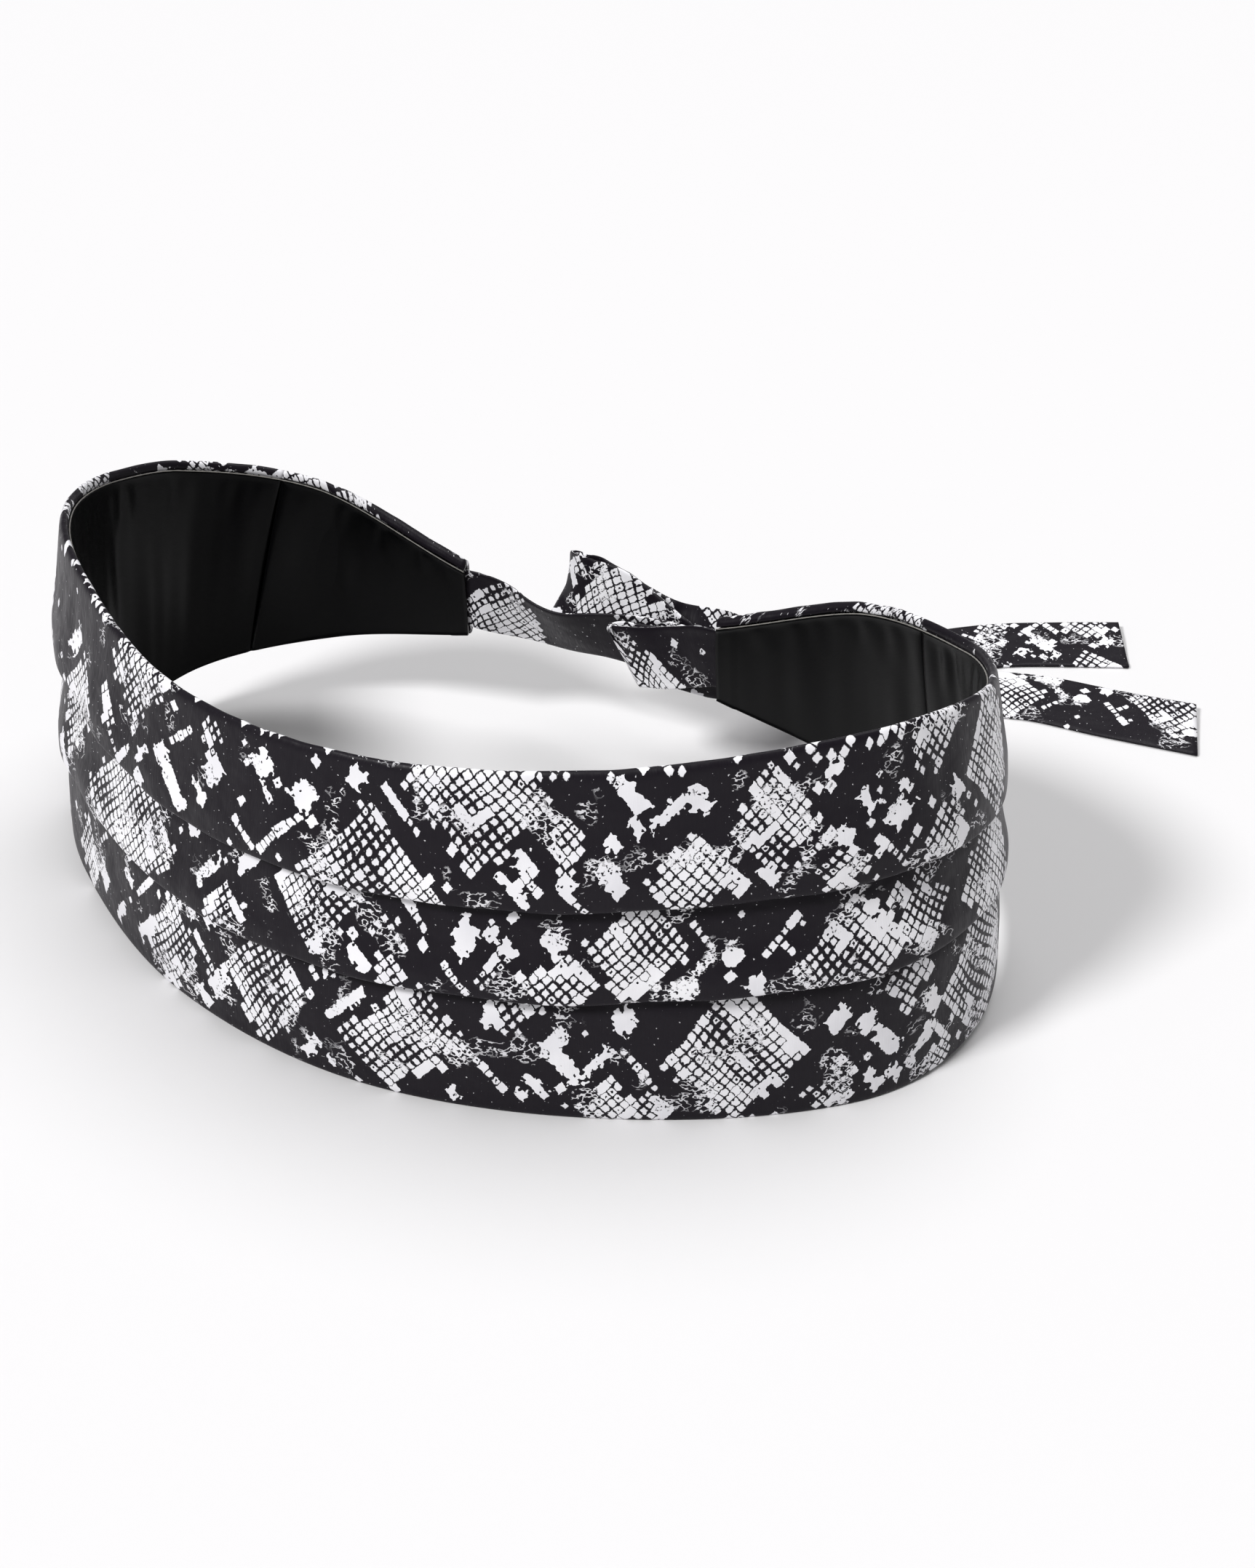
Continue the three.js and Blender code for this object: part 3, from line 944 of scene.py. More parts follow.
        # Outlines are thin in some parts of a diamond and thick in others, and gone in a blot
        weight = add(
            NOISE, {"Vector": cloth, "Scale": 1 / self.outline_over, "Detail": 0.0}, noise_dimensions="2D"
        )
        weight = weight.node.outputs["Fac"]
        outline = add(
            RANGE,
            {"Value": weight, "From Min": 0.36, "From Max": 0.66, "To Min": 0.18, "To Max": 0.44},
        )
        merging = add(NOISE, {"Vector": scale, "Scale": 1 / 2.3, "Detail": 0.0}, noise_dimensions="2D")
        near_edge = add(RANGE, {"Value": to_diamond, "From Min": -2.0, "From Max": 0.0, "To Max": 0.14})
        merging = add(MATH, {0: merging.node.outputs["Fac"], 1: near_edge})
        merged = add(MATH, {0: merging, 1: 0.72}, operation="GREATER_THAN")
        merged = add(MATH, {0: merged, 1: in_blot}, operation="MAXIMUM")
        outline = add(MATH, {0: merged, 1: -0.75, 2: outline}, operation="MULTIPLY_ADD")
        face = add(MATH, {0: 1.0, 1: outline}, operation="SUBTRACT")
        left = add(MATH, {0: face, 1: radius}, operation="SUBTRACT")
        filled = add(RANGE, {"Value": left, "From Min": -self.ink_edge, "From Max": self.ink_edge})
        filled = add(MATH, {0: filled, 1: shown}, operation="MULTIPLY")

        # Worn parts: scales are dotted or bitten, and scribbles of ink stand in the ground
        worn = add(
            NOISE, {"Vector": cloth, "Scale": 1 / self.worn_over, "Detail": 1.0}, noise_dimensions="2D"
        )
        worn = add(RANGE, {"Value": worn.node.outputs["Fac"], "From Min": 0.585, "From Max": 0.635})
        grain = add(
            NOISE, {"Vector": cloth, "Scale": 1 / self.grain, "Detail": 1.5}, noise_dimensions="2D"
        )
        grain = grain.node.outputs["Fac"]
        bite = add(RANGE, {"Value": grain, "From Min": 0.4, "From Max": 0.34})
        bite = add(MATH, {0: bite, 1: worn}, operation="MULTIPLY")
        dot = add(MATH, {0: radius, 1: 0.24}, operation="LESS_THAN")
        dotted = add(MATH, {0: dice["Y"], 1: 0.86}, operation="GREATER_THAN")
        dot = add(MATH, {0: dot, 1: dotted}, operation="MULTIPLY")
        bite = add(MATH, {0: bite, 1: dot}, operation="MAXIMUM")
        filled = add(MATH, {0: filled, 1: bite}, operation="SUBTRACT", use_clamp=True)
        strokes = add(VECTOR, {0: cloth, 1: (1 / 3.4, 1 / 2.2, 0)}, operation="MULTIPLY")
        strokes = add(NOISE, {"Vector": strokes, "Scale": 1.0, "Detail": 2.5}, noise_dimensions="2D")
        line = add(MATH, {0: strokes.node.outputs["Fac"], 1: 0.52}, operation="SUBTRACT")
        line = add(MATH, {0: line}, operation="ABSOLUTE")
        line = add(RANGE, {"Value": line, "From Min": 0.045, "From Max": 0.03, "To Max": 0.85})
        near = add(RANGE, {"Value": to_diamond, "From Min": 3.6, "From Max": 2.2})
        line = add(MATH, {0: line, 1: worn}, operation="MULTIPLY")
        line = add(MATH, {0: line, 1: near}, operation="MULTIPLY")
        speck = add(RANGE, {"Value": grain, "From Min": 0.77, "From Max": 0.81, "To Max": 0.7})
        filled = add(MATH, {0: filled, 1: speck}, operation="MAXIMUM")
        filled = add(MATH, {0: filled, 1: line}, operation="MAXIMUM")

        tone = add(
            "ShaderNodeMix", {0: weight, 6: linear(self.light), 7: linear(self.shade)},
            data_type="RGBA",
        )
        colour = add(
            "ShaderNodeMix", {0: filled, 6: linear(self.ground), 7: tone.node.outputs[2]},
            data_type="RGBA",
        ).node.outputs[2]
        # The floats of the weave run on a slant, and the cloth is nowhere quite flat
        ribs = add(
            "ShaderNodeMapping",
            {
                "Vector": cloth,
                "Rotation": (0, 0, math.radians(40)),
                "Scale": (1 / self.rib, 0.1 / self.rib, 1),
            },
        )
        ribs = add(NOISE, {"Vector": ribs, "Scale": 1.0, "Detail": 1.0}, noise_dimensions="2D")
        ribs = ribs.node.outputs["Fac"]
        rough = add(
            RANGE, {"Value": ribs, "From Min": 0.3, "From Max": 0.7, "To Min": 0.36, "To Max": 0.5}
        )
        crease = add(
            NOISE, {"Vector": cloth, "Scale": 1 / self.crease_over, "Detail": 2.0}, noise_dimensions="2D"
        )
        height = add(MATH, {0: ribs, 1: 0.05, 2: crease.node.outputs["Fac"]}, operation="MULTIPLY_ADD")
        bump = add("ShaderNodeBump", {"Strength": 0.35, "Distance": 0.0016, "Height": height})
        satin = add(
            "ShaderNodeBsdfPrincipled",
            {
                "Base Color": colour,
                "Roughness": rough,
                "IOR": 1.5,
                "Specular IOR Level": self.specular,
                "Sheen Weight": self.sheen,
                "Sheen Roughness": 0.35,
                "Sheen Tint": linear("d9d2e2"),
                "Normal": bump,
            },
        )
        add("ShaderNodeOutputMaterial", {"Surface": satin})
        return finish.material


@dataclass(frozen=True)
class LiningSatin:
    """Black acetate lining satin, woven with long floats, so it has a smooth soft gleam."""

    black: str = "040405"
    thread: float = 0.35  # spacing of the floats, drawn coarser than real so that it shows

    def build(self) -> bpy.types.Material:
        """Makes the material.

        Returns:
            The lining satin.
        """
        finish = Finish("black_acetate_lining")
        cloth = finish.add("ShaderNodeUVMap", {}, uv_map="cloth")
        stretched = finish.add(
            VECTOR, {0: cloth, 1: (0.06 / self.thread, 1 / self.thread, 0)}, operation="MULTIPLY"
        )
        floats = finish.add(NOISE, {"Vector": stretched, "Scale": 1.0, "Detail": 1.0}, noise_dimensions="2D")
        floats = floats.node.outputs["Fac"]
        rough = finish.add(RANGE, {"Value": floats, "To Min": 0.26, "To Max": 0.38})
        bump = finish.add("ShaderNodeBump", {"Strength": 0.12, "Distance": 0.0002, "Height": floats})
        satin = finish.add(
            "ShaderNodeBsdfPrincipled",
            {
                "Base Color": linear(self.black),
                "Roughness": rough,
                "IOR": 1.48,
                "Specular IOR Level": 0.15,
                "Sheen Weight": 0.01,
                "Normal": bump,
            },
        )
        finish.add("ShaderNodeOutputMaterial", {"Surface": satin})
        return finish.material


@dataclass(frozen=True)
class StitchThreadWithPaintedHighlight:
    """Spun polyester thread: matt, with a twist that catches a little light on each turn.

    Its pale grey is partly painted highlight. It stands for the light that the lining's edge
    catches just under the rolled top edge.
    """

    # pale grey, partly a painted highlight for the lining's lit edge under the rolled top edge
    painted_highlight_grey: str = "8a8782"
    twist: float = 0.5  # spacing of the twist, drawn coarser than real so that it shows

    def build(self) -> bpy.types.Material:
        """Makes the material.

        Returns:
            The thread.
        """
        finish = Finish("thread_painted_highlight")
        cloth = finish.add("ShaderNodeUVMap", {}, uv_map="cloth")
        turns = finish.add(
            "ShaderNodeTexWave", {"Vector": cloth, "Scale": 1 / self.twist, "Distortion": 1.0},
            bands_direction="DIAGONAL",
        ).node.outputs["Fac"]
        bump = finish.add("ShaderNodeBump", {"Strength": 0.4, "Distance": 0.0001, "Height": turns})
        thread = finish.add(
            "ShaderNodeBsdfPrincipled",
            {
                "Base Color": linear(self.painted_highlight_grey),
                "Roughness": 0.7,
                "IOR": 1.5,
                "Sheen Weight": 0.2,
                "Normal": bump,
            },
        )
        finish.add("ShaderNodeOutputMaterial", {"Surface": thread})
        return finish.material


# Pieces of cloth


@dataclass(frozen=True)
class Cut:
    """Where a piece is cut from its cloth, millimetres along and up the cloth."""

    along: float = 0.0
    up: float = 0.0


@dataclass
class Band:
    """What the pieces of the band share: the line they follow and their finishes."""

    line: BandLine
    prints: bpy.types.Material
    satin: bpy.types.Material
    sizes: Sizes = SIZES
    shares: Shares = SHARES
    step: float = 1.15  # spacing of the stations

    def stations(self, start: float, end: float) -> Sections:
        """Stations between two shares along the band.

        Args:
            start: Share where the piece starts.
            end: Share where it ends.

        Returns:
            The stations, about a step apart.
        """
        half = self.line.measured[1][-1]
        count = int(round((end - start) * half / self.step))
        return self.line.sections(np.linspace(start, end, count + 1))

    def rolled_top(self, outer: np.ndarray | float, top: np.ndarray) -> list[tuple]:
        """Corners of a rolled top edge, from the outer face over to the inside.

        Args:
            outer: Depth of the outer face.
            top: Height of the edge.

        Returns:
            The corners as (depth, z).
        """
        roll = self.sizes.roll
        return [
            (outer, top - roll / 2),
            (0.75 * outer, top - 0.1 * roll),
            (0.55 * outer, top),
            (0.2 * outer, top - 0.1 * roll),
            (0, top - roll / 2),
            (0, top - roll),
        ]

    def hem_corners(self, outer: np.ndarray | float, bottom: np.ndarray) -> list[tuple]:
        """Corners of a hem, from its inner side, which the lining covers, to the outer face.

        Args:
            outer: Depth of the outer face.
            bottom: Height of the edge.

        Returns:
            The corners as (depth, z).
        """
        inner, rise = self.sizes.on_lining, 0.35 * self.sizes.roll
        thick = outer - inner
        return [
            (inner, bottom + rise),
            (inner + 0.2 * thick, bottom),
            (inner + 0.8 * thick, bottom),
            (outer, bottom + rise),
        ]

    def piece(
        self, name: str, at: Sections, loop: np.ndarray, foot: int, cut: Cut, material: bpy.types.Material
    ) -> bpy.types.Object:
        """One shell of the band.

        Args:
            name: The solid that it replaces.
            at: Its stations.
            loop: Its outlines, stations by points by (depth, z).
            foot: The point of the outline that lies on the cut's lower line.
            cut: Where it is cut from its cloth.
            material: Its finish.

        Returns:
            The piece.
        """
        rings = self.line.points(at, loop[..., 0], loop[..., 1])
        around = outline_lengths(rings)
        along = at.length[:, None] + self.line.shift(at, loop[..., 1])
        along = np.concatenate([along, along[:, :1]], 1)
        cloth = np.stack([along + cut.along, around - around[:, foot, None] + cut.up], -1)
        # The outlines climb the outer face, so the rings run the other way for faces that look out
        piece = shell(f"{name}_cloth", rings[:, ::-1], cloth[:, ::-1], material)
        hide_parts(name)
        return piece


@dataclass
class Pleats(Band):
    """The front of the band: three pleats, the upper ones hanging over the next one down."""

    lift: float = 1.5  # how far the hanging folds stand off the pleat below
    swing: float = 1.3  # how much further they stand out in places
    side_ease: float = 0.4  # share of that which is gone at the sides
    wave: float = 0.4  # how far the folds wander up and down
    recess: float = 0.9  # how much a pleat thins where it goes up behind the next
    recess_reach: float = 5.0  # where the thinning starts, below the fold above
    swells: float = 0.42  # height of the soft swells on the faces
    crinkles: float = 0.12  # height of the small ones on them
    edge_pucker: float = 0.1  # how far the rolled top edge goes up and down

    def __post_init__(self) -> None:
        """Sets the stations of the front."""
        self.at = self.stations(-self.shares.seam + SEAM_GAP, self.shares.seam - SEAM_GAP)

    def fold(self, share: np.ndarray | float, seed: int) -> np.ndarray:
        """Height of a hanging fold, which wanders a little.

        Args:
            share: Share of the local height.
            seed: Number that the wandering comes from.

        Returns:
            The height at each station.
        """
        at = self.at
        wander = self.wave * Ripples(seed, 45, 120).at(at.length, np.zeros_like(at.length))
        return at.bottom + share * at.height + wander

    @property
    def upper(self) -> np.ndarray:
        """Height of the top pleat's fold."""
        return self.fold(self.shares.upper_fold, 3)

    @property
    def lower(self) -> np.ndarray:
        """Height of the middle pleat's fold."""
        share = self.shares.lower_fold + self.shares.lower_fold_rise * self.at.along
        return self.fold(share, 5)

    def hanging(self, z: np.ndarray, seed: int) -> tuple[list[tuple], np.ndarray]:
        """Corners of a hanging fold, and how far it stands out.

        Args:
            z: Its height.
            seed: Number that its swing comes from.

        Returns:
            The corners from its inner to its outer side, and the depth of its inner side.
        """
        face = self.sizes.face
        waves = Ripples(seed, 35, 110).at(self.at.length, np.zeros_like(self.at.length))
        eased = 1 - self.side_ease * smoothstep(np.abs(self.at.along), 0.35, 0.6)
        stand = self.sizes.on_pleat + (self.lift + self.swing * (0.5 + 0.5 * waves)) * eased
        corners = [
            (stand, z + face / 2),
            (stand + face / 4, z),
            (stand + 3 * face / 4, z),
            (stand + face, z + face / 2),
        ]
        return corners, stand

    def puffed(self, loop: np.ndarray, low: np.ndarray, high: np.ndarray, seed: int) -> np.ndarray:
        """Adds soft hollows and swells to the face between two heights.

        Args:
            loop: The outlines.
            low: Height where the face starts.
            high: Height where it ends.
            seed: Number that the swells come from.

        Returns:
            The outlines, softly uneven.
        """
        share = (loop[..., 1] - low[:, None]) / (high - low)[:, None]
        held = np.clip(np.sin(np.pi * np.clip(share, 0, 1)), 0, 1)
        outer = smoothstep(loop[..., 0], self.sizes.on_lining, self.sizes.on_plan)
        along = np.broadcast_to(self.at.length[:, None], loop.shape[:2])
        swell = self.swells * Ripples(seed, 30, 95).at(along, loop[..., 1])
        swell += self.crinkles * Ripples(seed + 50, 9, 26).at(along, 1.5 * loop[..., 1])
        loop[..., 0] += swell * held * outer
        return loop

    def build_top(self) -> bpy.types.Object:
        """The top pleat, with the rolled edge.

        Returns:
            The piece.
        """
        s, at = self.sizes, self.at
        upper, height = self.upper, self.at.height
        pucker = self.edge_pucker * Ripples(17, 14, 40).at(at.length, np.zeros_like(at.length))
        top = at.top + pucker
        face = top - upper
        corners, stand = self.hanging(upper, 7)
        corners += [
            (stand + s.face - 0.1 * s.puff, upper + 0.2 * face),
            (0.3 * stand + 0.7 * s.on_lining + s.face + 0.6 * s.puff, upper + 0.55 * face),
            *self.rolled_top(s.on_plan, top),
            (s.on_lining, top - s.roll),
            (s.on_lining, upper + (self.shares.tuck + self.shares.slant) * height),
            (s.on_pleat, upper + self.shares.tuck * height),
        ]
        counts = [2, 2, 2, 10, 16, 22, 3, 3, 3, 3, 3, 1, 6, 4, 4]
        loop = self.puffed(rounded_loop(corners, counts, 3), upper, top, 21)
        return self.piece("pleat_top", at, loop, 3, Cut(0, Strip.TOP.value), self.prints)

    def build_middle(self) -> bpy.types.Object:
        """The middle pleat, tucked up behind the top one.

        Returns:
            The piece.
        """
        s, at = self.sizes, self.at
        upper, lower, height = self.upper, self.lower, self.at.height
        tuck, slant = self.shares.tuck * height, self.shares.slant * height
        face = upper - lower
        corners, stand = self.hanging(lower, 9)
        corners += [
            (stand + s.face - 0.1 * s.puff, lower + 0.2 * face),
            (0.3 * stand + 0.7 * s.on_lining + s.face + s.puff / 2, lower + 0.55 * face),
            (s.on_plan + s.puff / 2, upper - self.recess_reach),
            (s.on_plan - self.recess, upper - s.face / 2),
            (s.on_plan - self.recess, upper + tuck - s.gap),
            (s.on_lining, upper + tuck - s.gap),
            (s.on_lining, lower + tuck + slant),
            (s.on_pleat, lower + tuck),
        ]
        counts = [2, 2, 2, 7, 13, 13, 4, 6, 2, 5, 4, 4]
        loop = self.puffed(rounded_loop(corners, counts, 3), lower, upper, 23)
        return self.piece(
            "pleat_middle", at, loop, 3, Cut(0, Strip.MIDDLE.value), self.prints
        )

    def build_bottom(self) -> bpy.types.Object:
        """The bottom pleat, rolled over at the hem that the band stands on.

        Returns:
            The piece.
        """
        s, at = self.sizes, self.at
        lower, bottom, height = self.lower, self.at.bottom, self.at.height
        tuck = self.shares.tuck * height
        face = lower - bottom
        corners = self.hem_corners(s.on_plan, bottom) + [
            (s.on_plan + s.puff, bottom + 0.3 * face),
            (s.on_plan + s.puff, bottom + 0.6 * face),
            (s.on_plan + s.puff / 2, lower - self.recess_reach),
            (s.on_plan - self.recess, lower - s.face / 2),
            (s.on_plan - self.recess, lower + tuck - s.gap),
            (s.on_lining, lower + tuck - s.gap),
        ]
        counts = [2, 3, 2, 14, 14, 11, 4, 6, 2, 10]
        loop = self.puffed(rounded_loop(corners, counts, 2), bottom, lower, 25)
        return self.piece("pleat_bottom", at, loop, 7, Cut(0, 0), self.prints)


@dataclass
class BackPanels(Band):
    """The plain ends of the band, each a pocket for its tie."""

    edge_pucker: float = 0.2  # how far the rolled top edge goes up and down
    swells: float = 0.3  # height of the soft swells on the face

    def build(self, side: int) -> bpy.types.Object:
        """One back panel.

        Args:
            side: -1 for the left one and 1 for the right one.

        Returns:
            The panel.
        """
        s, seam = self.sizes, self.shares.seam + SEAM_GAP
        at = self.stations(-1, -seam) if side < 0 else self.stations(seam, 1)
        open_share = smoothstep(np.abs(at.along), self.shares.seam, self.shares.pocket)
        inner = s.on_lining + (s.on_tie - s.on_lining) * open_share
        flat = np.zeros_like(at.length)
        top = at.top + self.edge_pucker * Ripples(31 + side, 9, 28).at(at.length, flat)
        middle = (top + at.bottom) / 2
        corners = [
            *self.hem_corners(inner + s.face, at.bottom),
            (inner + s.face + s.puff / 2, middle),
            *self.rolled_top(inner + s.face, top),
            (s.on_lining + flat, top - s.roll),
            (inner, top - s.roll / 2),
            (inner, middle),
            (inner, at.bottom + s.roll),
        ]
        counts = [2, 3, 2, 18, 18, 3, 3, 3, 3, 3, 1, 2, 6, 6, 3]
        loop = rounded_loop(corners, counts, 2)
        held = smoothstep(loop[..., 1], 4, 14)
        outer = smoothstep(loop[..., 0], inner[:, None], inner[:, None] + s.face)
        along = np.broadcast_to(at.length[:, None], loop.shape[:2])
        waves = Ripples(41 + side, 14, 50).at(along, loop[..., 1])
        loop[..., 0] += self.swells * waves * held * outer
        name = "back_panel_left" if side < 0 else "back_panel_right"
        return self.piece(name, at, loop, 7, Cut(0, 4), self.prints)


@dataclass
class Linings(Band):
    """The satin lining, slip-stitched to the rolled top edge and reaching down to the hem."""

    above_hem: float = 0.5  # how far it ends above the lower edge of the band
    edge: float = 0.5  # how far the turned-in edges stand proud
    seam_sink: float = 0.5  # how far the seams draw in
    hem: float = 7.0  # width of the hem at the open ends
    hem_step: float = 0.35  # how far the hem stands proud
    fold: float = 1.0  # depth of the soft folds that hang in it
    taut: float = 0.35  # share of it that is left on the right back panel, which is drawn taut
    crinkles: float = 0.16  # depth of the small folds on them
    pucker: float = 0.25  # depth of the puckers that the slip stitches draw up

    def build_front(self) -> bpy.types.Object:
        """The lining of the pleated front, sewn to the other two at the side seams.

        Returns:
            The piece.
        """
        seam = self.shares.seam - SEAM_GAP
        at = self.stations(-seam, seam)
        near = np.minimum(at.length - at.length[0], at.length[-1] - at.length)
        return self.build("lining_front", at, self.seam_sink * np.exp(-(near**2)), self.fold, 71)

    def build_end(self, side: int) -> bpy.types.Object:
        """The lining of a back panel, hemmed where the tie leaves.

        Args:
            side: -1 for the left one and 1 for the right one.

        Returns:
            The piece.
        """
        seam = self.shares.seam + SEAM_GAP
        at = self.stations(-1, -seam) if side < 0 else self.stations(seam, 1)
        from_start, from_end = at.length - at.length[0], at.length[-1] - at.length
        seamed, hemmed = (from_end, from_start) if side < 0 else (from_start, from_end)
        sink = self.seam_sink * np.exp(-(seamed**2))
        sink -= self.hem_step * smoothstep(-hemmed, -self.hem, -self.hem + 0.8)
        name = "lining_left" if side < 0 else "lining_right"
        fold = self.fold if side < 0 else self.taut * self.fold
        return self.build(name, at, sink, fold, 74 + side)

    def build(
        self, name: str, at: Sections, sink: np.ndarray, fold: float, seed: int
    ) -> bpy.types.Object:
        """One length of lining.

        Args:
            name: The solid that it replaces.
            at: Its stations.
            sink: How far its inner face lies back at each station.
            fold: Depth of its soft folds.
            seed: Number that its soft folds come from.

        Returns:
            The piece.
        """
        s, edge = self.sizes, self.edge
        low, high = at.bottom + self.above_hem, at.top - s.roll - s.gap
        corners = [
            (-edge + 0 * low, low + edge),
            (0 * low, low),
            (s.lining + 0 * low, low),
            (s.lining + 0 * low, high),
            (0 * low, high),
            (-edge + 0 * low, high - edge),
            (0 * low, high - 2 * edge),
            (0 * low, low + 2 * edge),
        ]
        loop = rounded_loop(corners, [2, 3, 12, 3, 2, 2, 44, 2], 1)
        along = np.broadcast_to(at.length[:, None], loop.shape[:2])
        share = (loop[..., 1] - low[:, None]) / (high - low)[:, None]
        held = np.clip(np.sin(np.pi * np.clip(share, 0, 1)), 0, 1) ** 0.7
        inner = 1 - smoothstep(loop[..., 0], 0, s.lining)
        folds = fold * Ripples(seed, 24, 60).at(along, 0.6 * loop[..., 1])
        folds += self.crinkles * Ripples(seed + 9, 7, 18).at(along, 0.4 * loop[..., 1])
        puckers = self.pucker * Ripples(seed + 20, 6, 13).at(along, 0.3 * loop[..., 1])
        near_top = smoothstep(share, 0.7, 0.93) * (1 - smoothstep(share, 0.93, 0.99))
        loop[..., 0] += ((folds - 0.5) * held + puckers * near_top + sink[:, None]) * inner
        return self.piece(name, at, loop, 0, Cut(), self.satin)


@dataclass
class SlipStitch(Band):
    """The row of slip stitches between the lining and the rolled top edge.

    Its pale thread is partly painted highlight, for the light that the lining's edge catches there.
    """

    thick: float = 0.45
    stitch: float = 4.2  # length of one stitch
    below_roll: float = 0.1  # how far it lies below the rolled edge's cloth
    inside: float = 0.35  # how far it lies inside the lining's inner face
    around: int = 8
    step: float = 0.6

    def build(self, thread: bpy.types.Material) -> bpy.types.Object:
        """The row, a line of thread that swells between the points where it is drawn in.

        Args:
            thread: Its finish.

        Returns:
            The row.
        """
        at = self.stations(-1, 1)
        middle = at.top - self.sizes.roll - self.below_roll
        swell = 0.72 + 0.28 * np.abs(np.sin(np.pi * at.length / self.stitch))
        turn = np.linspace(0, 2 * np.pi, self.around, endpoint=False)
        radius = (self.thick / 2 * swell)[:, None]
        depth, z = radius * np.cos(turn) - self.inside, middle[:, None] + radius * np.sin(turn)
        rings = self.line.points(at, depth, z)
        around = outline_lengths(rings)
        cloth = np.stack([np.broadcast_to(at.length[:, None], around.shape), around], -1)
        piece = shell("slip_stitch", rings[:, ::-1], cloth[:, ::-1], thread)
        return piece


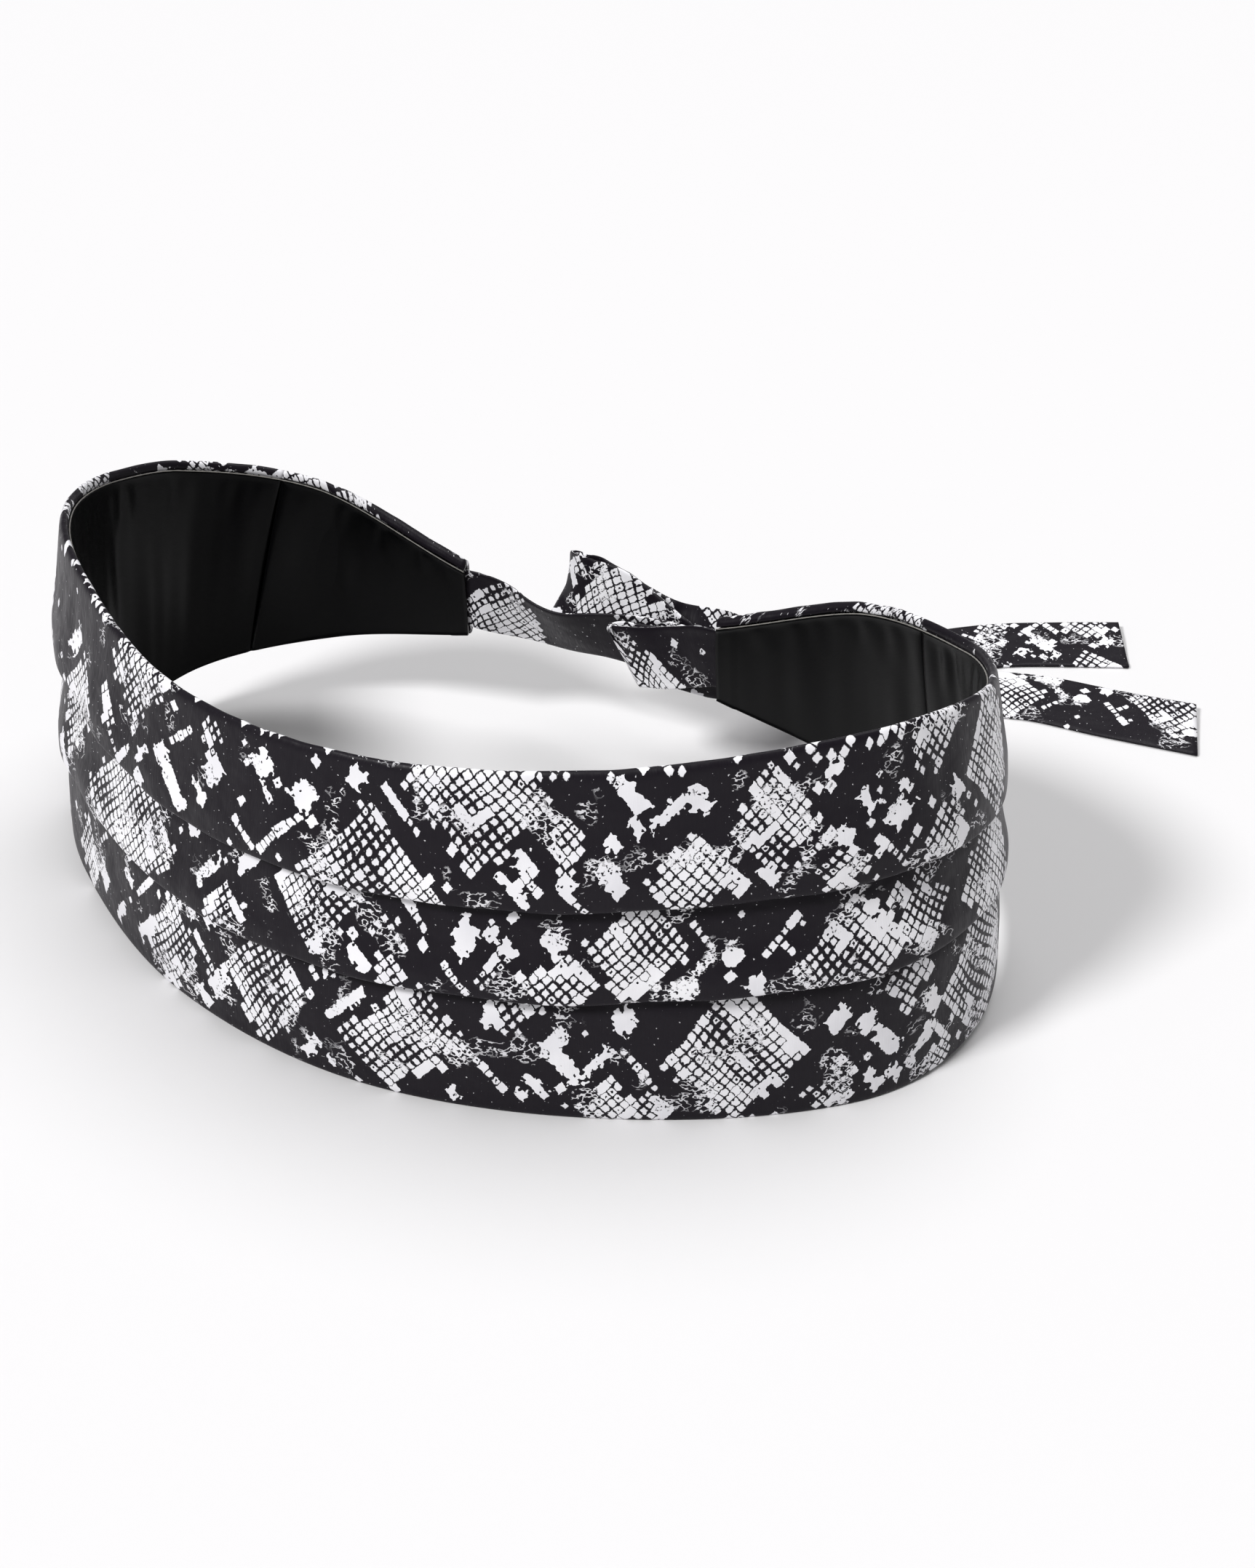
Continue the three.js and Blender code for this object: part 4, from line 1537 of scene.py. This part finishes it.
@dataclass
class Ties(Band):
    """The two ties, each one flat tube of print cloth from its pocket to its cut end."""

    stations_per_row: int = 14
    around: int = 40
    sway: float = 0.35  # how far the cloth goes in and out between its edges
    above_floor: float = 0.12  # the least height of its cloth where it lies on the floor

    def knot(self) -> tuple[Vector, Vector, Vector]:
        """The knot's place and directions.

        Returns:
            Its centre in millimetres, the direction from end to end and the one to the back.
        """
        ends = self.line.sections(np.array([-1.0, 1.0]))
        across = Vector((ends.x[1] - ends.x[0], ends.y[1] - ends.y[0], 0)).normalized()
        centre = Vector(
            (ends.x.mean(), ends.y.mean(), float((ends.top + ends.bottom).mean()) / 2)
        )
        return centre, across, Vector((-across.y, across.x, 0))

    def rows(self, side: int) -> list[tuple[Vector, TieRow]]:
        """A tie's rows with their places.

        Args:
            side: -1 for the left tie and 1 for the right one.

        Returns:
            Each place in millimetres, before the shift to the hem's middle, with its row.
        """
        s, shares = self.sizes, self.shares
        centre, across, back = self.knot()
        lean = math.degrees(math.atan(s.lean / s.height))
        pocket = [shares.pocket_start, (shares.pocket_start + 1) / 2, 1.0]
        at = self.line.sections(side * np.array(pocket))
        depth = np.full((3, 1), s.on_lining + s.tie / 2)
        middles = self.line.points(at, depth, ((at.top + at.bottom) / 2)[:, None])[:, 0]
        places = [Vector(p) + Vector((0, s.on_plan / 2, 0)) for p in middles]
        heading = (places[2] - places[1]).normalized()
        places.append(places[2] + heading * shares.straight_out * s.tie_width)
        held = TieRow(0, 0, 0, -side * lean, shares.in_pocket_wide)
        found = [(place, held) for place in places]
        for row in LEFT_IN_KNOT if side < 0 else RIGHT_IN_KNOT:
            place = centre + across * (row.across * s.tie_width) + back * (row.back * s.knot_pitch)
            found.append((place + Vector((0, 0, row.up * s.tie_width)), row))
        for row in UPPER_TAIL if side < 0 else LOWER_TAIL:
            reach = s.tail_reach
            x, y = centre.x + row.across * reach, centre.y + row.back * reach
            found.append((Vector((x, y, row.up * centre.z)), row))
        return found

    @staticmethod
    def path(points: list[Vector], per_row: int) -> tuple[np.ndarray, np.ndarray]:
        """A centripetal curve through points.

        Args:
            points: The points.
            per_row: Number of steps between neighbours.

        Returns:
            Places and unit directions along the curve.
        """
        first = points[0] * 2 - points[1]
        last = points[-1] * 2 - points[-2]
        full = [first, *points, last]
        places, headings = [], []
        for k in range(len(points) - 1):
            p0, p1, p2, p3 = full[k : k + 4]
            d0, d1, d2 = ((b - a).length ** 0.5 for a, b in ((p0, p1), (p1, p2), (p2, p3)))
            t1 = ((p1 - p0) / d0 - (p2 - p0) / (d0 + d1) + (p2 - p1) / d1) * d1
            t2 = ((p2 - p1) / d1 - (p3 - p1) / (d1 + d2) + (p3 - p2) / d2) * d1
            c2, c3 = (p2 - p1) * 3 - t1 * 2 - t2, (p1 - p2) * 2 + t1 + t2
            steps = per_row + (k == len(points) - 2)
            for step in range(steps):
                t = step / per_row
                places.append(p1 + t1 * t + c2 * t * t + c3 * t**3)
                headings.append((t1 + c2 * 2 * t + c3 * 3 * t * t).normalized())
        return np.array(places), np.array(headings)

    def section(self) -> np.ndarray:
        """Outline of the flat tube, with full edges.

        Returns:
            Its points, as shares of the tie's width and thickness.
        """
        turn = np.linspace(0, 2 * np.pi, self.around, endpoint=False)
        x = np.sign(np.cos(turn)) * np.abs(np.cos(turn)) ** 0.55
        swell = 0.36 + 0.14 * smoothstep(np.abs(x), 0.75, 0.94)
        y = np.sign(np.sin(turn)) * np.minimum(np.abs(np.sin(turn)) ** 0.45, 1) * swell
        return np.stack([0.5 * x, y], 1)

    def build(self, side: int, cut: Cut) -> bpy.types.Object:
        """One tie.

        Args:
            side: -1 for the left tie and 1 for the right one.
            cut: Where it is cut from the cloth.

        Returns:
            The tie.
        """
        s = self.sizes
        found = self.rows(side)
        places, headings = self.path([place for place, _ in found], self.stations_per_row)
        table = SmoothTable(
            np.arange(len(found), dtype=float),
            np.array([(math.radians(r.roll), r.wide, math.tan(math.radians(r.cut))) for _, r in found]),
        )
        wanted = np.arange(len(places)) / self.stations_per_row
        roll, wide, skew = table.at(wanted).T
        up = np.array([0, 0, 1.0])
        upright = up - headings * headings[:, 2:3]
        upright /= np.linalg.norm(upright, axis=1)[:, None]
        sideways = np.cross(headings, upright)
        across = upright * np.cos(roll)[:, None] + sideways * np.sin(roll)[:, None]
        through = np.cross(headings, across)
        width = wide * s.tie_width
        reach = width / 2 * np.abs(across[:, 2]) + s.tie / 2 * np.abs(through[:, 2])
        places[:, 2] = np.maximum(places[:, 2], reach)
        length = np.concatenate([[0], np.cumsum(np.linalg.norm(np.diff(places, axis=0), axis=1))])
        outline = self.section()
        x, y = outline[None, :, 0], outline[None, :, 1]
        along, over = np.broadcast_arrays(length[:, None], x * width[:, None])
        free = smoothstep(length[:, None], 6, 20) * (1 - (2 * np.abs(x)) ** 4)
        sway = self.sway * Ripples(61 + side, 16, 46).at(along, 2 * over) * free
        rings = (
            places[:, None]
            + across[:, None] * (x * width[:, None])[..., None]
            - headings[:, None] * (x * (width * skew)[:, None])[..., None]
            + through[:, None] * (y * s.tie + sway)[..., None]
        )
        rings[..., 1] -= s.on_plan / 2
        rings[..., 2] = np.maximum(rings[..., 2], self.above_floor)
        around = outline_lengths(rings)
        along = np.broadcast_to(length[:, None], around.shape)
        cloth = np.stack([along + cut.along, around + cut.up], -1)
        name = "tie_left" if side < 0 else "tie_right"
        piece = shell(f"{name}_cloth", rings, cloth, self.prints)
        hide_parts(name)
        LOG.info("%s is %.0f mm long", name, length[-1])
        return piece


# Surroundings


@dataclass(frozen=True)
class Studio:
    """A pale floor and soft light from above, in front and behind."""

    floor: str = "e3e2e3"
    reach: float = 6.0
    world: float = 0.25  # strength of the white light from all round

    def build(self) -> None:
        """Makes the floor, the lights and the world."""
        mesh = bpy.data.meshes.new("floor")
        r = self.reach
        mesh.from_pydata([(-r, -r, 0), (r, -r, 0), (r, r, 0), (-r, r, 0)], [], [(0, 1, 2, 3)])
        finish = Finish("white_paper")
        paper = finish.add("ShaderNodeBsdfPrincipled", {"Base Color": linear(self.floor), "Roughness": 0.9})
        finish.add("ShaderNodeOutputMaterial", {"Surface": paper})
        mesh.materials.append(finish.material)
        floor = bpy.data.objects.new("floor", mesh)
        bpy.context.scene.collection.objects.link(floor)
        floor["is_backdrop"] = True
        self.lamp("key", (0.6, 1.2, -1.4), 13, 2.4)
        self.lamp("top", (-0.05, -0.5, -1.5), 45, 1.6)
        world = bpy.data.worlds.new("studio")
        world.use_nodes = True
        world.node_tree.nodes["Background"].inputs["Color"].default_value = linear("ffffff")
        world.node_tree.nodes["Background"].inputs["Strength"].default_value = self.world
        bpy.context.scene.world = world
        bpy.context.scene.view_settings.view_transform = "Standard"

    @staticmethod
    def lamp(name: str, towards: tuple, spread: float, strength: float) -> None:
        """Adds a large far soft light, which lights the whole floor alike.

        Args:
            name: Its name.
            towards: The direction that it shines in.
            spread: How wide it looks from the part, in degrees.
            strength: Watts per square metre on a surface that faces it.
        """
        data = bpy.data.lights.new(name, "SUN")
        data.angle, data.energy = math.radians(spread), strength
        lamp = bpy.data.objects.new(name, data)
        lamp.rotation_euler = Vector(towards).to_track_quat("-Z", "Y").to_euler()
        bpy.context.scene.collection.objects.link(lamp)


@dataclass(frozen=True)
class Camera:
    """The photograph's view: above the front's right, looking down at the band."""

    place: tuple[float, float, float] = (0.3435, -0.56365, 0.5029)
    towards: tuple[float, float, float] = (-0.3512, 0.7779, -0.5210)
    lens: float = 63.18

    def build(self) -> None:
        """Makes the scene's camera."""
        data = bpy.data.cameras.new("camera")
        data.lens, data.sensor_width = self.lens, 36
        camera = bpy.data.objects.new("camera", data)
        camera.location = self.place
        camera.rotation_euler = Vector(self.towards).to_track_quat("-Z", "Y").to_euler()
        bpy.context.scene.collection.objects.link(camera)
        bpy.context.scene.camera = camera


def main() -> None:
    """Builds the camera, the cummerbund and its surroundings."""
    logging.basicConfig(level=logging.INFO, format="%(name)s: %(message)s")
    Camera().build()
    prints, satin = SnakeskinPrint().build(), LiningSatin().build()
    # The thread's pale grey is partly painted highlight along the lining's edge under the rolled top
    thread = StitchThreadWithPaintedHighlight().build()
    line = BandLine()
    pleats = Pleats(line, prints, satin)
    pleats.build_top()
    pleats.build_middle()
    pleats.build_bottom()
    panels = BackPanels(line, prints, satin)
    panels.build(-1)
    panels.build(1)
    linings = Linings(line, prints, satin)
    linings.build_front()
    linings.build_end(-1)
    linings.build_end(1)
    SlipStitch(line, prints, satin).build(thread)
    # The cuts put the print's marks on the ties about where the photograph has them
    ties = Ties(line, prints, satin)
    ties.build(-1, Cut(186, 120))
    ties.build(1, Cut(-149, 63))
    Studio().build()
    boxes = {"cad": CAD_BOX, "visual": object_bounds()}
    {name: [list(corner) for corner in box] for name, box in boxes.items()}


if __name__ == "__main__":
    main()
